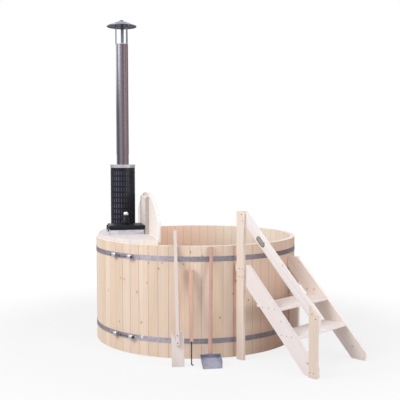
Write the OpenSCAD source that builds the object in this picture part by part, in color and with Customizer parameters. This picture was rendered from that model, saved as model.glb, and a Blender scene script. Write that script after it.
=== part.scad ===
// Wood-fired hot tub of upright staves, with a sunk stove, its chimney, steps and tools.
// Millimetres, +Z up. The origin is on the ground, on the axis of the tub.

/* [Tub] */
// Radius over the corners of the staves
tub_r = 1000; // [940:1:1080]
// Height of the rim above the ground
tub_h = 1009.5; // [990:0.5:1030]
// Number of staves
stave_count = 64; // [56:4:72]
// Thickness of a stave
stave_t = 44; // [40:1:48]
// Gap between two staves
stave_gap = 0.4; // [0.3:0.1:0.8]
// Chamfer on the outer edges of a stave
stave_arris = 2; // [1:0.5:4]
// Height of the lower ends of the staves above the ground
stave_foot = 6; // [3:1:12]

/* [Floor] */
// Height of the joists that carry the floor
joist_h = 78; // [72:1:90]
// Width of a joist
joist_w = 70; // [50:1:90]
// From the middle of the outer joist to the middle of the drain
joist_drain_gap = 180; // [150:5:200]
// Thickness of the floor
floor_t = 42; // [36:1:50]
// Number of floor boards
floor_board_count = 15; // [11:2:19]
// Depth of the groove in the staves that holds the floor
croze_depth = 11; // [6:1:16]
// Gap between two boards
board_gap = 1; // [0.5:0.5:3]

/* [Hoops] */
// Width of a hoop
hoop_w = 45; // [35:1:55]
// Thickness of a hoop
hoop_t = 2; // [1.5:0.5:3]
// From the rim down to the middle of the top hoop
top_hoop_drop = 113; // [90:1:140]
// Height of the middle of the bottom hoop
bottom_hoop_z = 163; // [145:1:200]
// Direction of the coupling on the top hoop, in degrees
top_coupling_az = -131.6; // [-140:0.1:-120]
// Direction of the coupling on the bottom hoop, in degrees
bottom_coupling_az = -131; // [-140:0.1:-120]
// From the middle of a coupling to the middle of each lug
lug_half = 104; // [80:1:120]
// Length of a lug along the bolt
lug_len = 30; // [20:1:40]
// Height of a lug
lug_tall = 38; // [30:1:45]
// How far a lug stands out from the tub
lug_proud = 36; // [32:1:45]
// Radius of a hoop bolt
hoop_bolt_r = 6; // [5:0.5:8]

/* [Stove bay] */
// Direction of the stove from the middle of the tub, in degrees
bay_az = 191; // [180:1:200]
// From the stove's outer far edge to the staves
stove_wall_gap = 8.55; // [4:0.05:15]
// Thickness of the cover
cover_t = 36; // [28:1:45]
// Number of cover boards
cover_board_count = 4; // [3:1:5]
// Rim that stays bare outside the cover
rim_margin = 25; // [15:1:32]
// Width of a cover cleat
cleat_w = 45; // [35:1:60]
// Thickness of a cover cleat
cleat_t = 30; // [20:1:40]
// Thickness of the fence boards
fence_t = 26; // [20:1:32]
// Number of fence boards
fence_board_count = 18; // [14:2:22]
// Height of the top of the fence's arch
fence_top = 1447; // [1400:1:1500]
// Radius of the fence's arch
arch_r = 1500; // [1400:10:1700]
// Height of the lower ends of the fence boards
fence_foot = 200; // [140:5:260]
// Play between the ends of the fence and the staves
fence_side_play = 13; // [5:1:25]
// Width of a fence upright
upright_w = 80; // [60:1:95]
// How far a fence upright stands out from the boards
upright_t = 38; // [30:1:39]
// From the middle of the fence to the outer side of an upright
upright_reach = 200; // [160:1:240]
// Height of a fence rail
rail_h = 60; // [45:1:65]
// Thickness of a fence rail
rail_t = 40; // [30:1:44]
// Height of the lower side of the upper rail
upper_rail_z = 900; // [800:5:905]
// Height of the lower side of the lower rail
lower_rail_z = 300; // [280:5:400]

/* [Stove] */
// Gap between the fence boards and the stove
stove_gap = 48; // [48:1:51]
// Depth of the stove, away from the fence
stove_depth = 330; // [300:1:335]
// Length of the stove on the near side of its bay
stove_near = 185; // [170:1:190]
// Length of the stove on the far side of its bay
stove_far = 355; // [350:1:370]
// Height of the stove's top plate
stove_top = 1088; // [1080:1:1100]
// Thickness of the stove's plates
stove_wall = 4; // [3:0.5:6]
// Height of the stove's feet
stove_foot_h = 30; // [20:1:50]
// Width of a stove foot
stove_foot_w = 50; // [40:1:70]
// Size of the stove's mouth, away from the fence
mouth_depth = 230; // [200:1:240]
// Size of the stove's mouth, along the fence
mouth_len = 210; // [180:1:220]
// Height of the grate above the stove's bottom
grate_h = 80; // [60:1:120]

/* [Lid] */
// Length of the lid along the fence
lid_len = 290; // [280:1:292]
// Height of the lid
lid_h = 44; // [40:1:50]
// How far the lid stands out over the stove
lid_over = 8; // [6:0.5:9]
// Sheet thickness of the lid
lid_wall = 4; // [3:0.5:5]
// Height of the rope seal
seal_h = 8; // [6:0.5:10]
// Width of the rope seal
seal_w = 12; // [8:1:14]
// Radius of a hinge pin
hinge_pin_r = 4; // [3:0.5:5]
// Radius of the lid handle's stem
stem_r = 27.5; // [20:0.5:32]
// Height of the lid handle's stem
stem_h = 82; // [60:1:100]
// Radius of the ball on the lid handle
ball_r = 25; // [18:0.5:27]

/* [Chimney] */
// From the stove's outer side to the chimney's axis
flue_inset = 163; // [150:1:170]
// From the middle of the bay to the chimney's axis
flue_side = 225; // [223:1:230]
// Outer radius of the lower flue
flue_r = 62; // [58:0.5:65]
// Sheet thickness of the flues
flue_wall = 1.5; // [1:0.5:2]
// Height of the top of the lower flue
lower_flue_top = 1880; // [1850:5:2000]
// Height of the top of the upper flue
upper_flue_top = 2940; // [2700:5:3100]
// Length of the joint between the flues
socket_len = 50; // [40:1:80]
// Radius of the perforated guard
guard_r = 124; // [121:0.5:124]
// Height of the perforated guard
guard_h = 602; // [550:1:650]
// Sheet thickness of the guard
guard_wall = 2; // [1.5:0.5:3]
// Width of a slot in the guard
slot_w = 11; // [8:0.5:13]
// Height of a slot in the guard
slot_h = 40; // [30:1:44]
// Height of the guard's top ring
ring_h = 32; // [25:1:40]
// Radius of the rain cap
cap_r = 150; // [120:1:180]
// Height of the rain cap's cone
cap_h = 60; // [45:1:80]
// Open height between the flue and the rain cap's brim
cap_gap = 183; // [120:1:200]
// Width of a cap strap
strap_w = 30; // [20:1:35]

/* [Bench] */
// Height of the seat
seat_h = 480; // [440:1:500]
// Thickness of the seat boards
seat_t = 32; // [25:1:40]
// Number of bench segments
seat_segments = 5; // [4:1:5]
// From the fence to the end of the bench, along the staves
bench_end_gap = 79.2; // [70:0.1:120]
// Width of a seat board
seat_board_w = 110; // [95:1:112]
// Gap between two seat boards
seat_gap = 7; // [5:1:12]
// Thickness of a bench bearer and leg
bearer_t = 45; // [35:1:55]
// Height of a bench bearer
bearer_h = 70; // [55:1:90]
// Width of a bench leg
bench_leg_w = 95; // [70:1:110]

/* [Drain] */
// From the tub's outer radius to the middle of the drain
drain_inset = 220; // [180:1:260]
// Outer radius of the drain pipe
drain_r = 24; // [22:0.5:25]
// Bore radius of the drain
drain_bore_r = 19; // [15:0.5:20]
// Height of the middle of the drain pipe
drain_z = 42; // [38:1:44]
// Outer radius of the hose tail
tail_r = 20; // [18:0.5:22]
// Length of the hose tail
tail_len = 45; // [35:1:60]

/* [Steps] */
// Direction of the steps from the tub, in degrees
steps_az = -45; // [-60:1:-30]
// Sideways offset of the steps
steps_offset = -50; // [-80:1:0]
// Half of the steps' width over the stringers
steps_half = 368; // [320:1:400]
// Thickness of all boards of the steps
step_t = 26; // [22:1:32]
// How far the steps stand out from the tub
steps_reach = 821; // [790:1:860]
// Slope of the stringers, in degrees
stringer_angle = 46.1; // [44:0.1:48]
// Width of a stringer board
stringer_w = 153; // [130:1:170]
// Height of the stringers' level top
stringer_top = 848; // [800:1:860]
// Height of the stringer's toe
toe_h = 74; // [60:1:90]
// Height of the lower tread
lower_tread_z = 304; // [280:1:330]
// Height of the upper tread
upper_tread_z = 513; // [480:1:540]
// Depth of the lower tread
lower_tread_d = 237; // [200:1:250]
// Depth of the upper tread
upper_tread_d = 266; // [220:1:280]
// Width of the two posts of the handrail
post_w = 81; // [65:1:95]
// Height of the tall post
tall_post_h = 1320; // [1250:1:1400]
// Slope of the handrail, in degrees
handrail_angle = 45.8; // [44:0.1:47]
// Width of the handrail board
handrail_w = 88; // [70:1:100]
// Width of the rear leg
rear_leg_w = 93; // [70:1:110]

/* [Tools] */
// Length of the paddle
paddle_len = 1180; // [1100:5:1300]
// Width of the paddle's blade
blade_w = 108; // [90:1:130]
// Height of the paddle's blade
blade_h = 290; // [240:1:330]
// Thickness of the paddle's blade
blade_t = 20; // [16:1:26]
// Side of the paddle's square shaft
shaft_w = 28; // [24:1:34]
// Length of the poker
poker_len = 818; // [700:1:850]
// Length of the poker's handle
poker_handle_len = 620; // [500:1:680]
// Radius of the poker's rod
rod_r = 5; // [4:0.5:7]
// Length of the ash shovel's handle
shovel_len = 945; // [850:1:955]
// Radius of the ash shovel's handle
shovel_r = 16; // [14:0.5:18]
// Width of the ash shovel's pan
pan_w = 165; // [140:1:190]
// Length of the ash shovel's pan
pan_len = 150; // [120:1:180]
// Height of the pan's side walls
pan_side = 45; // [30:1:60]

/* [Hidden] */
$fn = 96;

// How far every cut runs past the face it cuts
cut = 2;
// Gap between a piece and the curved seat that carries it
seat_play = 0.3;
// Radial play of a pin in its hole
pin_play = 0.05;
// Radial play of a screw or bolt in its hole
bolt_play = 0.25;

// Flat sides of the staves, from the tub's axis
outer_flat = tub_r * cos(180 / stave_count);
inner_flat = outer_flat - stave_t;
// Surfaces of the floor
floor_top = joist_h + floor_t;
floor_r = inner_flat + croze_depth;
croze_play = 0.2;
// Joists stop short of the staves
joist_play = 4;
joist_sides = 2;
drain_d = tub_r - drain_inset;
joist_pitch = (drain_d - joist_drain_gap) / joist_sides;

// Hoops and couplings
hoop_seat = 0.1;
hoop_in = tub_r + hoop_seat;
hoop_out = hoop_in + hoop_t;
top_hoop_z = tub_h - top_hoop_drop;
hoop_bolt_d = hoop_out + lug_proud / 2;
nut_r_share = 1.85;
nut_t_share = 1.6;
hoop_nut_r = nut_r_share * hoop_bolt_r;
hoop_nut_t = nut_t_share * hoop_bolt_r;
lug_gap = 0.2;
middle_nut_y = -32;
// The strap end runs past its lug by this angle
tail_past = 5.5;
lug_angle = atan(lug_half / hoop_bolt_d);

// Cover and fence, in the bay's own directions: x away from the tub's axis, y to the near side
cover_r = tub_r - rim_margin;
cover_top = tub_h + cover_t;
stove_out = sqrt(pow(inner_flat, 2) - pow(stove_far, 2)) - stove_wall_gap;
stove_in = stove_out - stove_depth;
chord_d = stove_in - stove_gap;
cover_play = 4;
cover_board_w = (cover_r - chord_d + board_gap) / cover_board_count;
near_cleat_y = stove_near + cover_play + cleat_w / 2;
far_cleat_y = -stove_far - cover_play - cleat_w / 2;
cleat_play = 5;
fence_half = sqrt(pow(inner_flat, 2) - pow(chord_d, 2)) - fence_side_play;
fence_board_pitch = (2 * fence_half + board_gap) / fence_board_count;
arch_z = fence_top - arch_r;
upright_drop = 22;
upright_h = arch_z + sqrt(pow(arch_r, 2) - pow(upright_reach, 2)) - upright_drop - cover_top;

// Stove
stove_mid_x = (stove_in + stove_out) / 2;
stove_foot_top = floor_top + stove_foot_h;
lid_near = stove_near + lid_over;
lid_y = lid_near - lid_len / 2;
lid_lift = 1;
lid_bottom = stove_top + lid_lift;
lid_top = lid_bottom + lid_h;
lid_depth = stove_depth + 2 * lid_over;
ball_seat = 6;
ball_z = lid_top + stem_h + ball_r - ball_seat;
seal_edge = 2;
insulation_inset = 8;
baffle_t = 6;
baffle_y = lid_near - lid_len + lid_over;
baffle_drop = 660;
grate_t = 12;
grate_bar = 14;
grate_slot = 16;
grate_inset = 8;
spigot_play = 0.4;
spigot_h = 52;
spigot_wall = 3;
spigot_out = flue_r - flue_wall - spigot_play;

// Hinge of the lid
hinge_r = 10;
hinge_out = 15;
hinge_drop = 22;
hinge_spread = 100;
hinge_x = stove_out + hinge_out;
hinge_z = stove_top - hinge_drop;
ear_w = 12;
fork_w = 8;
fork_play = 0.5;
hinge_ys = [lid_y - hinge_spread, lid_y + hinge_spread];
plate_t = 3;
plate_margin = 6;
pin_head_r = 6.5;
pin_head_t = 2.5;
pin_len = ear_w + 2 * fork_play + 2 * fork_w;
ear_top = 54;

// Chimney
flue_x = stove_out - flue_inset;
flue_y = -flue_side;
socket_play = 0.3;
upper_flue_out = flue_r + socket_play + flue_wall;
upper_flue_in = flue_r - flue_wall + socket_play;
rivet_r = 4;
rivet_t = 1.5;
rivet_count = 3;
rivet_drop = 30;
slot_rows = 10;
slot_columns = 28;
slot_pitch = 55;
slot_foot = 33;
guard_top = stove_top + guard_h;
ring_flare = 4;
ring_hole_play = 0.6;
sleeve_len = 40;
sleeve_wall = 1.5;
flange_t = 2.5;
flange_out = upper_flue_out + 1;
strap_t = 2;
strap_count = 3;
strap_az = 90;
cap_wall = 2;
brim_h = 5;
cap_brim_z = upper_flue_top + cap_gap;
strap_play = 0.2;

// Bench
bench_az = bay_az - 180;
bench_end_az = 180 - acos((chord_d - fence_t) / inner_flat) - bench_end_gap / inner_flat * 180 / PI;
segment_angle = 2 * bench_end_az / seat_segments;
seat_corner_play = 1.5;
seat_outer = inner_flat * cos(segment_angle / 2) - seat_corner_play;
seat_rows = 3;
segment_play = 3;
bearer_in = seat_outer - seat_rows * seat_board_w - (seat_rows - 1) * seat_gap;

// Drain, on the far side of the tub
flange_r = 45;
strainer_t = 4;
strainer_bar = 5;
drain_hole_play = 0.5;
drain_nut_r = 36;
drain_nut_t = 10;
valve_gap = 12;
valve_r = 32;
valve_len = 74;
valve_y = outer_flat + valve_gap;
ball_valve_r = 25;
ball_play = 0.4;
valve_mid_y = valve_y + valve_len / 2;
valve_stem_r = 6;
valve_bore_step = 4;
valve_bore_r = drain_bore_r - valve_bore_step;
valve_neck_r = 12;
valve_neck_h = 12;
valve_top = drain_z + valve_r + valve_neck_h;
lever_len = 90;
lever_w = 18;
lever_t = 5;
lever_rise = 2;

// Steps: x away from the tub's axis, y across
stringer_rise = tan(stringer_angle);
stringer_tall = stringer_w / cos(stringer_angle);
steps_front = tub_r + steps_reach;
nose_setback = 9;
toe_shoulder = 8;
stringer_nose = steps_front - nose_setback;
stringer_line = toe_h + toe_shoulder + stringer_nose * stringer_rise;
handrail_rise = tan(handrail_angle);
handrail_tall = handrail_w / cos(handrail_angle);
post_setback = 44.5;
tall_post_x = tub_r - post_setback;
handrail_line = tall_post_h + (tall_post_x + post_w) * handrail_rise;
leg_setback = 33;
rear_leg_x = tub_r - leg_setback;
tread_nosing = 12;
near_wall_y = steps_offset - steps_half + step_t;
far_wall_y = steps_offset + steps_half - step_t;
plate_out = 208;
plate_drop = 78;
plate_x = tub_r + plate_out;
plate_z = handrail_line - plate_x * handrail_rise - plate_drop;
oval_plate_t = 3;
oval_plate_r = 22.5;
oval_plate_half = 33;
screw_r = 2.5;
screw_head_r = 5;
screw_head_t = 1.6;
screw_len = 46;
rail_screw_drop = 28;
rail_screw_step = 54;
board_screw_drop = 34;
board_screw_step = 71;
short_screw_drop = 40;
foot_screw_z = 42;
post_screw_shares = [0.38, 0.68, 0.82];
short_post_x = steps_front - post_w;
tall_screws = [
    [tall_post_x + post_screw_shares[1] * post_w, tall_post_h - rail_screw_drop],
    [tall_post_x + post_screw_shares[2] * post_w, tall_post_h - rail_screw_drop - rail_screw_step],
    for (x = [post_screw_shares[0], post_screw_shares[2]], row = [0, 1])
        [tall_post_x + x * post_w, stringer_top - board_screw_drop - row * board_screw_step]];
short_screws = [
    for (x = [post_screw_shares[0], post_screw_shares[2]])
        [short_post_x + x * post_w,
            handrail_line - (short_post_x + x * post_w) * handrail_rise - short_screw_drop],
    for (x = [1 - post_screw_shares[2], 1 - post_screw_shares[0]])
        [short_post_x + x * post_w, foot_screw_z]];
leg_screws = [for (row = [0, 1]) [rear_leg_x + (post_screw_shares[0] + row * post_screw_shares[0])
    * rear_leg_w, stringer_top - board_screw_drop - row * board_screw_drop]];

// Tools
blade_foot_x = -150;
blade_foot_out = 234;
blade_foot_y = -tub_r - blade_foot_out;
paddle_tilt = -1.5;
shaft_foot = 178;
paddle_screw_inset = 25;
paddle_screw_zs = [shaft_foot + paddle_screw_inset, blade_h - paddle_screw_inset];
paddle_rest_x = blade_foot_x + tub_h * sin(paddle_tilt) + shaft_w / 2;
paddle_reach = -wall_d(paddle_rest_x, -90, 0) - blade_foot_y;
paddle_lean = atan(paddle_reach / tub_h)
    + asin((blade_t - seat_play) / norm([paddle_reach, tub_h]));
poker_x = -37;
poker_out = 191;
poker_y = -tub_r - poker_out;
poker_r1 = 16.5;
poker_r2 = 22.5;
hook_len = 24;
hook_turn = 40;
rod_grip = 90;
poker_reach = -outer_flat - poker_y - seat_play;
poker_lean = asin(poker_reach / norm([poker_len, poker_r2])) - atan(poker_r2 / poker_len);
shovel_x = 143;
shovel_out = 292;
shovel_y = -tub_r - shovel_out;
shovel_yaw = 9;
pan_angle = 29;
pan_t = 2;
pan_flare = 16;
pan_socket_r = shovel_r + seat_play + pan_t;
pan_socket_len = 90;
shovel_foot_x = shovel_x - pan_len * cos(pan_angle) * sin(shovel_yaw);
shovel_foot_y = shovel_y + pan_len * cos(pan_angle) * cos(shovel_yaw);
shovel_foot_z = pan_len * sin(pan_angle);
pan_slope_share = 0.35;
shovel_tilt = 1;
shovel_rest_x = shovel_foot_x + shovel_len * sin(shovel_tilt);
shovel_reach = -wall_d(shovel_rest_x, -90, shovel_r + seat_play) - shovel_foot_y;
shovel_lean = asin(shovel_reach / shovel_len);

// Distance of a staves' flat, moved outwards by out, from the tub's axis along the direction az,
// at a sideways place
function wall_d(side, az, out) =
    let (pitch = 360 / stave_count, turn = round((asin(side / tub_r) + az) / pitch) * pitch - az)
    (outer_flat + out - side * sin(turn)) / cos(turn);

// Places children in the stove bay's directions
module bay() {
    rotate([0, 0, bay_az]) children();
}

// Places children in the directions of the steps
module steps() {
    rotate([0, 0, steps_az]) translate([0, steps_offset, 0]) children();
}

// A box given by its least and greatest corners
module span(low, high) {
    translate(low) cube(high - low);
}

// One bevelled stave, before the groove is cut
module stave_blank() {
    bevel = tan(180 / stave_count);
    side = stave_gap / 2;
    shoulder = outer_flat - stave_arris;
    translate([0, 0, stave_foot]) linear_extrude(tub_h - stave_foot) polygon([
        [inner_flat, side - inner_flat * bevel],
        [shoulder, side - shoulder * bevel],
        [outer_flat, side + stave_arris - outer_flat * bevel],
        [outer_flat, outer_flat * bevel - side - stave_arris],
        [shoulder, shoulder * bevel - side],
        [inner_flat, inner_flat * bevel - side]]);
}

module staves() {
    color("burlywood") difference() {
        for (i = [0 : stave_count - 1]) rotate([0, 0, i * 360 / stave_count]) stave_blank();
        translate([0, 0, joist_h - croze_play])
            cylinder(r = floor_r + croze_play, h = floor_t + 2 * croze_play, $fn = 256);
        translate([0, 0, drain_z]) rotate([-90, 0, 0])
            cylinder(r = drain_r + drain_hole_play, h = tub_r + cut);
    }
}

module floor_boards() {
    pitch = (2 * floor_r + board_gap) / floor_board_count;
    color("wheat") difference() {
        translate([0, 0, joist_h]) cylinder(r = floor_r, h = floor_t, $fn = 256);
        for (i = [1 : floor_board_count - 1])
            translate([i * pitch - floor_r - board_gap, -floor_r - cut, joist_h - cut])
                cube([board_gap, 2 * (floor_r + cut), floor_t + 2 * cut]);
        translate([0, drain_d, joist_h - cut])
            cylinder(r = drain_r + drain_hole_play, h = floor_t + 2 * cut);
    }
}

module floor_joists() {
    color("tan") for (i = [-joist_sides : joist_sides]) {
        side = abs(i) * joist_pitch + joist_w / 2;
        half = sqrt(pow(inner_flat - joist_play, 2) - pow(side, 2));
        translate([-half, i * joist_pitch - joist_w / 2, 0]) cube([2 * half, joist_w, joist_h]);
    }
}

// A hoop with the lapped end of its strap
module hoop(z, az) {
    start = az - lug_angle;
    lap = 2 * lug_angle + tail_past;
    translate([0, 0, z - hoop_w / 2]) {
        rotate_extrude($fn = 256) translate([hoop_in, 0]) square([hoop_t, hoop_w]);
        rotate([0, 0, start]) rotate_extrude(angle = lap, $fn = 256)
            translate([hoop_out, 0]) square([hoop_t, hoop_w]);
    }
}

module top_hoop() {
    color("lightsteelblue") hoop(top_hoop_z, top_coupling_az);
}

module bottom_hoop() {
    color("lightsteelblue") hoop(bottom_hoop_z, bottom_coupling_az);
}

// Places children at both couplings: x outwards along the middle, y along the bolt
module at_couplings() {
    translate([0, 0, top_hoop_z]) rotate([0, 0, top_coupling_az]) children();
    translate([0, 0, bottom_hoop_z]) rotate([0, 0, bottom_coupling_az]) children();
}

// The bolt line of a coupling
module on_bolt(y) {
    translate([hoop_bolt_d, y, 0]) rotate([-90, 0, 0]) children();
}

module hoop_lugs() {
    lug_in = hoop_out * cos(2 * lug_angle);
    color("silver") at_couplings() difference() {
        for (side = [-1, 1]) translate([lug_in, side * lug_half - lug_len / 2, -lug_tall / 2])
            cube([hoop_out + lug_proud - lug_in, lug_len, lug_tall]);
        translate([0, 0, -lug_tall / 2 - cut])
            cylinder(r = hoop_out + hoop_t + lug_gap, h = lug_tall + 2 * cut, $fn = 256);
        on_bolt(-lug_half - lug_len)
            cylinder(r = hoop_bolt_r + bolt_play, h = 2 * (lug_half + lug_len));
    }
}

module hoop_bolts() {
    reach = lug_half + lug_len / 2;
    color("gainsboro") at_couplings() {
        on_bolt(-reach - 2 * hoop_nut_t)
            cylinder(r = hoop_bolt_r, h = 2 * reach + 2 * hoop_nut_t);
        on_bolt(reach) cylinder(r = hoop_nut_r, h = hoop_bolt_r, $fn = 6);
    }
}

module hoop_nuts() {
    reach = lug_half + lug_len / 2;
    color("gray") at_couplings() for (y = [-reach - hoop_nut_t, middle_nut_y]) on_bolt(y)
        difference() {
            cylinder(r = hoop_nut_r, h = hoop_nut_t, $fn = 6);
            translate([0, 0, -cut]) cylinder(r = hoop_bolt_r + bolt_play, h = hoop_nut_t + 2 * cut);
        }
}

module cover_boards() {
    color("antiquewhite") bay() difference() {
        intersection() {
            translate([0, 0, tub_h]) cylinder(r = cover_r, h = cover_t, $fn = 256);
            span([chord_d, -cover_r, tub_h - cut], [cover_r + cut, cover_r, cover_top + cut]);
        }
        for (i = [1 : cover_board_count - 1])
            translate([chord_d + i * cover_board_w - board_gap, -cover_r, tub_h - cut])
                cube([board_gap, 2 * cover_r, cover_t + 2 * cut]);
        span([stove_in - cover_play, -stove_far - cover_play, tub_h - cut],
            [stove_out + cover_play, stove_near + cover_play, cover_top + cut]);
    }
}

module cover_cleats() {
    color("wheat") bay() intersection() {
        for (y = [near_cleat_y, far_cleat_y])
            span([chord_d + rail_t + cleat_play, y - cleat_w / 2, tub_h - cleat_t],
                [tub_r, y + cleat_w / 2, tub_h]);
        translate([0, 0, tub_h - cleat_t - cut])
            cylinder(r = inner_flat - cleat_play, h = cleat_t + 2 * cut, $fn = 256);
    }
}

module fence_boards() {
    color("bisque") bay() difference() {
        intersection() {
            span([chord_d - fence_t, -fence_half, fence_foot], [chord_d, fence_half, fence_top]);
            translate([chord_d - fence_t - cut, 0, arch_z]) rotate([0, 90, 0])
                cylinder(r = arch_r, h = fence_t + 2 * cut, $fn = 256);
        }
        for (i = [1 : fence_board_count - 1])
            translate([chord_d - fence_t - cut, i * fence_board_pitch - fence_half - board_gap,
                    fence_foot - cut])
                cube([fence_t + 2 * cut, board_gap, fence_top]);
    }
}

module fence_uprights() {
    color("antiquewhite") bay() for (y = [-upright_reach, upright_reach - upright_w])
        translate([chord_d, y, cover_top]) cube([upright_t, upright_w, upright_h]);
}

module fence_rails() {
    color("wheat") bay() intersection() {
        for (z = [lower_rail_z, upper_rail_z])
            span([chord_d, -tub_r, z], [chord_d + rail_t, tub_r, z + rail_h]);
        cylinder(r = inner_flat - seat_play, h = tub_h, $fn = 256);
    }
}

module stove_body() {
    low = [stove_in, -stove_far, stove_foot_top];
    high = [stove_out, stove_near, stove_top];
    wall = [stove_wall, stove_wall, stove_wall];
    color("silver") bay() difference() {
        union() {
            span(low, high);
            translate([flue_x, flue_y, stove_top - stove_wall])
                cylinder(r = spigot_out, h = stove_wall + spigot_h);
        }
        span(low + wall, high - wall);
        span([stove_mid_x - mouth_depth / 2, lid_y - mouth_len / 2, stove_top - stove_wall - cut],
            [stove_mid_x + mouth_depth / 2, lid_y + mouth_len / 2, stove_top + cut]);
        translate([flue_x, flue_y, stove_top - stove_wall - cut])
            cylinder(r = spigot_out - spigot_wall, h = stove_wall + spigot_h + 2 * cut);
    }
}

module stove_feet() {
    color("dimgray") bay() for (x = [stove_in, stove_out - stove_foot_w],
            y = [-stove_far, stove_near - stove_foot_w])
        translate([x, y, floor_top]) cube([stove_foot_w, stove_foot_w, stove_foot_h]);
}

module stove_baffle() {
    low_z = stove_top - stove_wall - baffle_drop;
    color("dimgray") bay() span(
        [stove_in + stove_wall + seat_play, baffle_y - baffle_t, low_z],
        [stove_out - stove_wall - seat_play, baffle_y, stove_top - stove_wall]);
}

module stove_grate() {
    floor_z = stove_foot_top + stove_wall;
    low = [stove_in + stove_wall + grate_inset, baffle_y + grate_inset, floor_z + grate_h - grate_t];
    high = [stove_out - stove_wall - grate_inset, stove_near - stove_wall - grate_inset,
        floor_z + grate_h];
    pitch = grate_bar + grate_slot;
    slots = floor((high[1] - low[1] - grate_bar) / pitch);
    color("dimgray") bay() {
        difference() {
            span(low, high);
            for (i = [0 : slots - 1])
                span([low[0] + grate_bar, low[1] + grate_bar + i * pitch, low[2] - cut],
                    [high[0] - grate_bar, low[1] + grate_bar + i * pitch + grate_slot,
                        high[2] + cut]);
        }
        for (x = [low[0], high[0] - grate_bar], y = [low[1], high[1] - grate_bar])
            span([x, y, floor_z], [x + grate_bar, y + grate_bar, low[2]]);
    }
}

module lid_seal() {
    inner = [mouth_depth / 2 + seal_edge, mouth_len / 2 + seal_edge];
    outer = inner + [seal_w, seal_w];
    color("dimgray") bay() translate([stove_mid_x, lid_y, 0]) difference() {
        span([-outer[0], -outer[1], stove_top], [outer[0], outer[1], stove_top + seal_h]);
        span([-inner[0], -inner[1], stove_top - cut],
            [inner[0], inner[1], stove_top + seal_h + cut]);
    }
}

module lid_shell() {
    half = [lid_depth / 2, lid_len / 2];
    color("black") bay() translate([stove_mid_x, lid_y, 0]) difference() {
        span([-half[0], -half[1], lid_bottom], [half[0], half[1], lid_top]);
        span([lid_wall - half[0], lid_wall - half[1], lid_bottom - cut],
            [half[0] - lid_wall, half[1] - lid_wall, lid_top - lid_wall]);
    }
}

module lid_insulation() {
    half = [lid_depth / 2 - lid_wall - insulation_inset, lid_len / 2 - lid_wall - insulation_inset];
    color("gray") bay() translate([stove_mid_x, lid_y, 0])
        span([-half[0], -half[1], stove_top + seal_h], [half[0], half[1], lid_top - lid_wall]);
}

// The hole for a hinge pin
module pin_bore() {
    rotate([-90, 0, 0]) translate([0, 0, -pin_len])
        cylinder(r = hinge_pin_r + pin_play, h = 2 * pin_len);
}

module lid_hinge_ears() {
    lid_face = stove_mid_x + lid_depth / 2;
    color("black") bay() for (y = hinge_ys) translate([hinge_x, y, hinge_z]) difference() {
        union() {
            translate([0, -ear_w / 2, 0]) rotate([-90, 0, 0]) cylinder(r = hinge_r, h = ear_w);
            span([lid_face - hinge_x, -ear_w / 2, 0], [hinge_pin_r, ear_w / 2, ear_top]);
        }
        pin_bore();
    }
}

module lid_hinge_brackets() {
    face = stove_out - hinge_x;
    inner = ear_w / 2 + fork_play;
    outer = inner + fork_w;
    color("silver") bay() for (y = hinge_ys) translate([hinge_x, y, hinge_z]) difference() {
        union() {
            span([face, -outer - plate_margin, -hinge_r - plate_margin / 2],
                [face + plate_t, outer + plate_margin, hinge_r]);
            for (side = [-outer, inner]) {
                span([face, side, -hinge_r], [0, side + fork_w, hinge_r]);
                translate([0, side, 0]) rotate([-90, 0, 0]) cylinder(r = hinge_r, h = fork_w);
            }
        }
        pin_bore();
    }
}

module lid_hinge_pins() {
    color("gray") bay() for (y = hinge_ys) translate([hinge_x, y - pin_len / 2, hinge_z])
        rotate([-90, 0, 0]) {
            cylinder(r = hinge_pin_r, h = pin_len);
            translate([0, 0, -pin_head_t]) cylinder(r = pin_head_r, h = pin_head_t);
            translate([0, 0, pin_len]) cylinder(r = pin_head_r, h = pin_head_t);
        }
}

module lid_handle_stem() {
    color("black") bay() difference() {
        translate([stove_mid_x, lid_y, lid_top]) cylinder(r = stem_r, h = stem_h);
        translate([stove_mid_x, lid_y, ball_z]) sphere(r = ball_r + seat_play);
    }
}

module lid_handle_ball() {
    color("gainsboro") bay() translate([stove_mid_x, lid_y, ball_z]) sphere(r = ball_r);
}

// Places children on the chimney's axis
module at_flue() {
    bay() translate([flue_x, flue_y, 0]) children();
}

// A tube by its outer and inner radius between two heights
module tube(outer, inner, low, high) {
    translate([0, 0, low]) difference() {
        cylinder(r = outer, h = high - low);
        translate([0, 0, -cut]) cylinder(r = inner, h = high - low + 2 * cut);
    }
}

module lower_flue() {
    color("silver") at_flue() tube(flue_r, flue_r - flue_wall, stove_top, lower_flue_top);
}

module upper_flue() {
    socket_r = flue_r + socket_play;
    color("silver") at_flue() difference() {
        translate([0, 0, lower_flue_top - socket_len])
            cylinder(r = upper_flue_out, h = upper_flue_top - lower_flue_top + socket_len);
        translate([0, 0, lower_flue_top - socket_len - cut])
            cylinder(r = socket_r, h = socket_len + cut);
        translate([0, 0, lower_flue_top - cut])
            cylinder(r = upper_flue_in, h = upper_flue_top - lower_flue_top + 2 * cut);
        at_rivets() translate([0, 0, -flue_r])
            cylinder(r = rivet_r / 2 + seat_play, h = flue_r + cut);
    }
}

// Places children at each rivet of the flue joint, z outwards from the flue's face
module at_rivets() {
    for (i = [0 : rivet_count - 1]) rotate([0, 0, i * 360 / rivet_count])
        translate([upper_flue_out, 0, lower_flue_top - rivet_drop]) rotate([0, 90, 0]) children();
}

module flue_rivets() {
    hold = upper_flue_out - flue_r - seat_play;
    color("gray") at_flue() at_rivets() {
        cylinder(r = rivet_r, h = rivet_t);
        translate([0, 0, -hold]) cylinder(r = rivet_r / 2, h = hold);
    }
}

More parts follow.
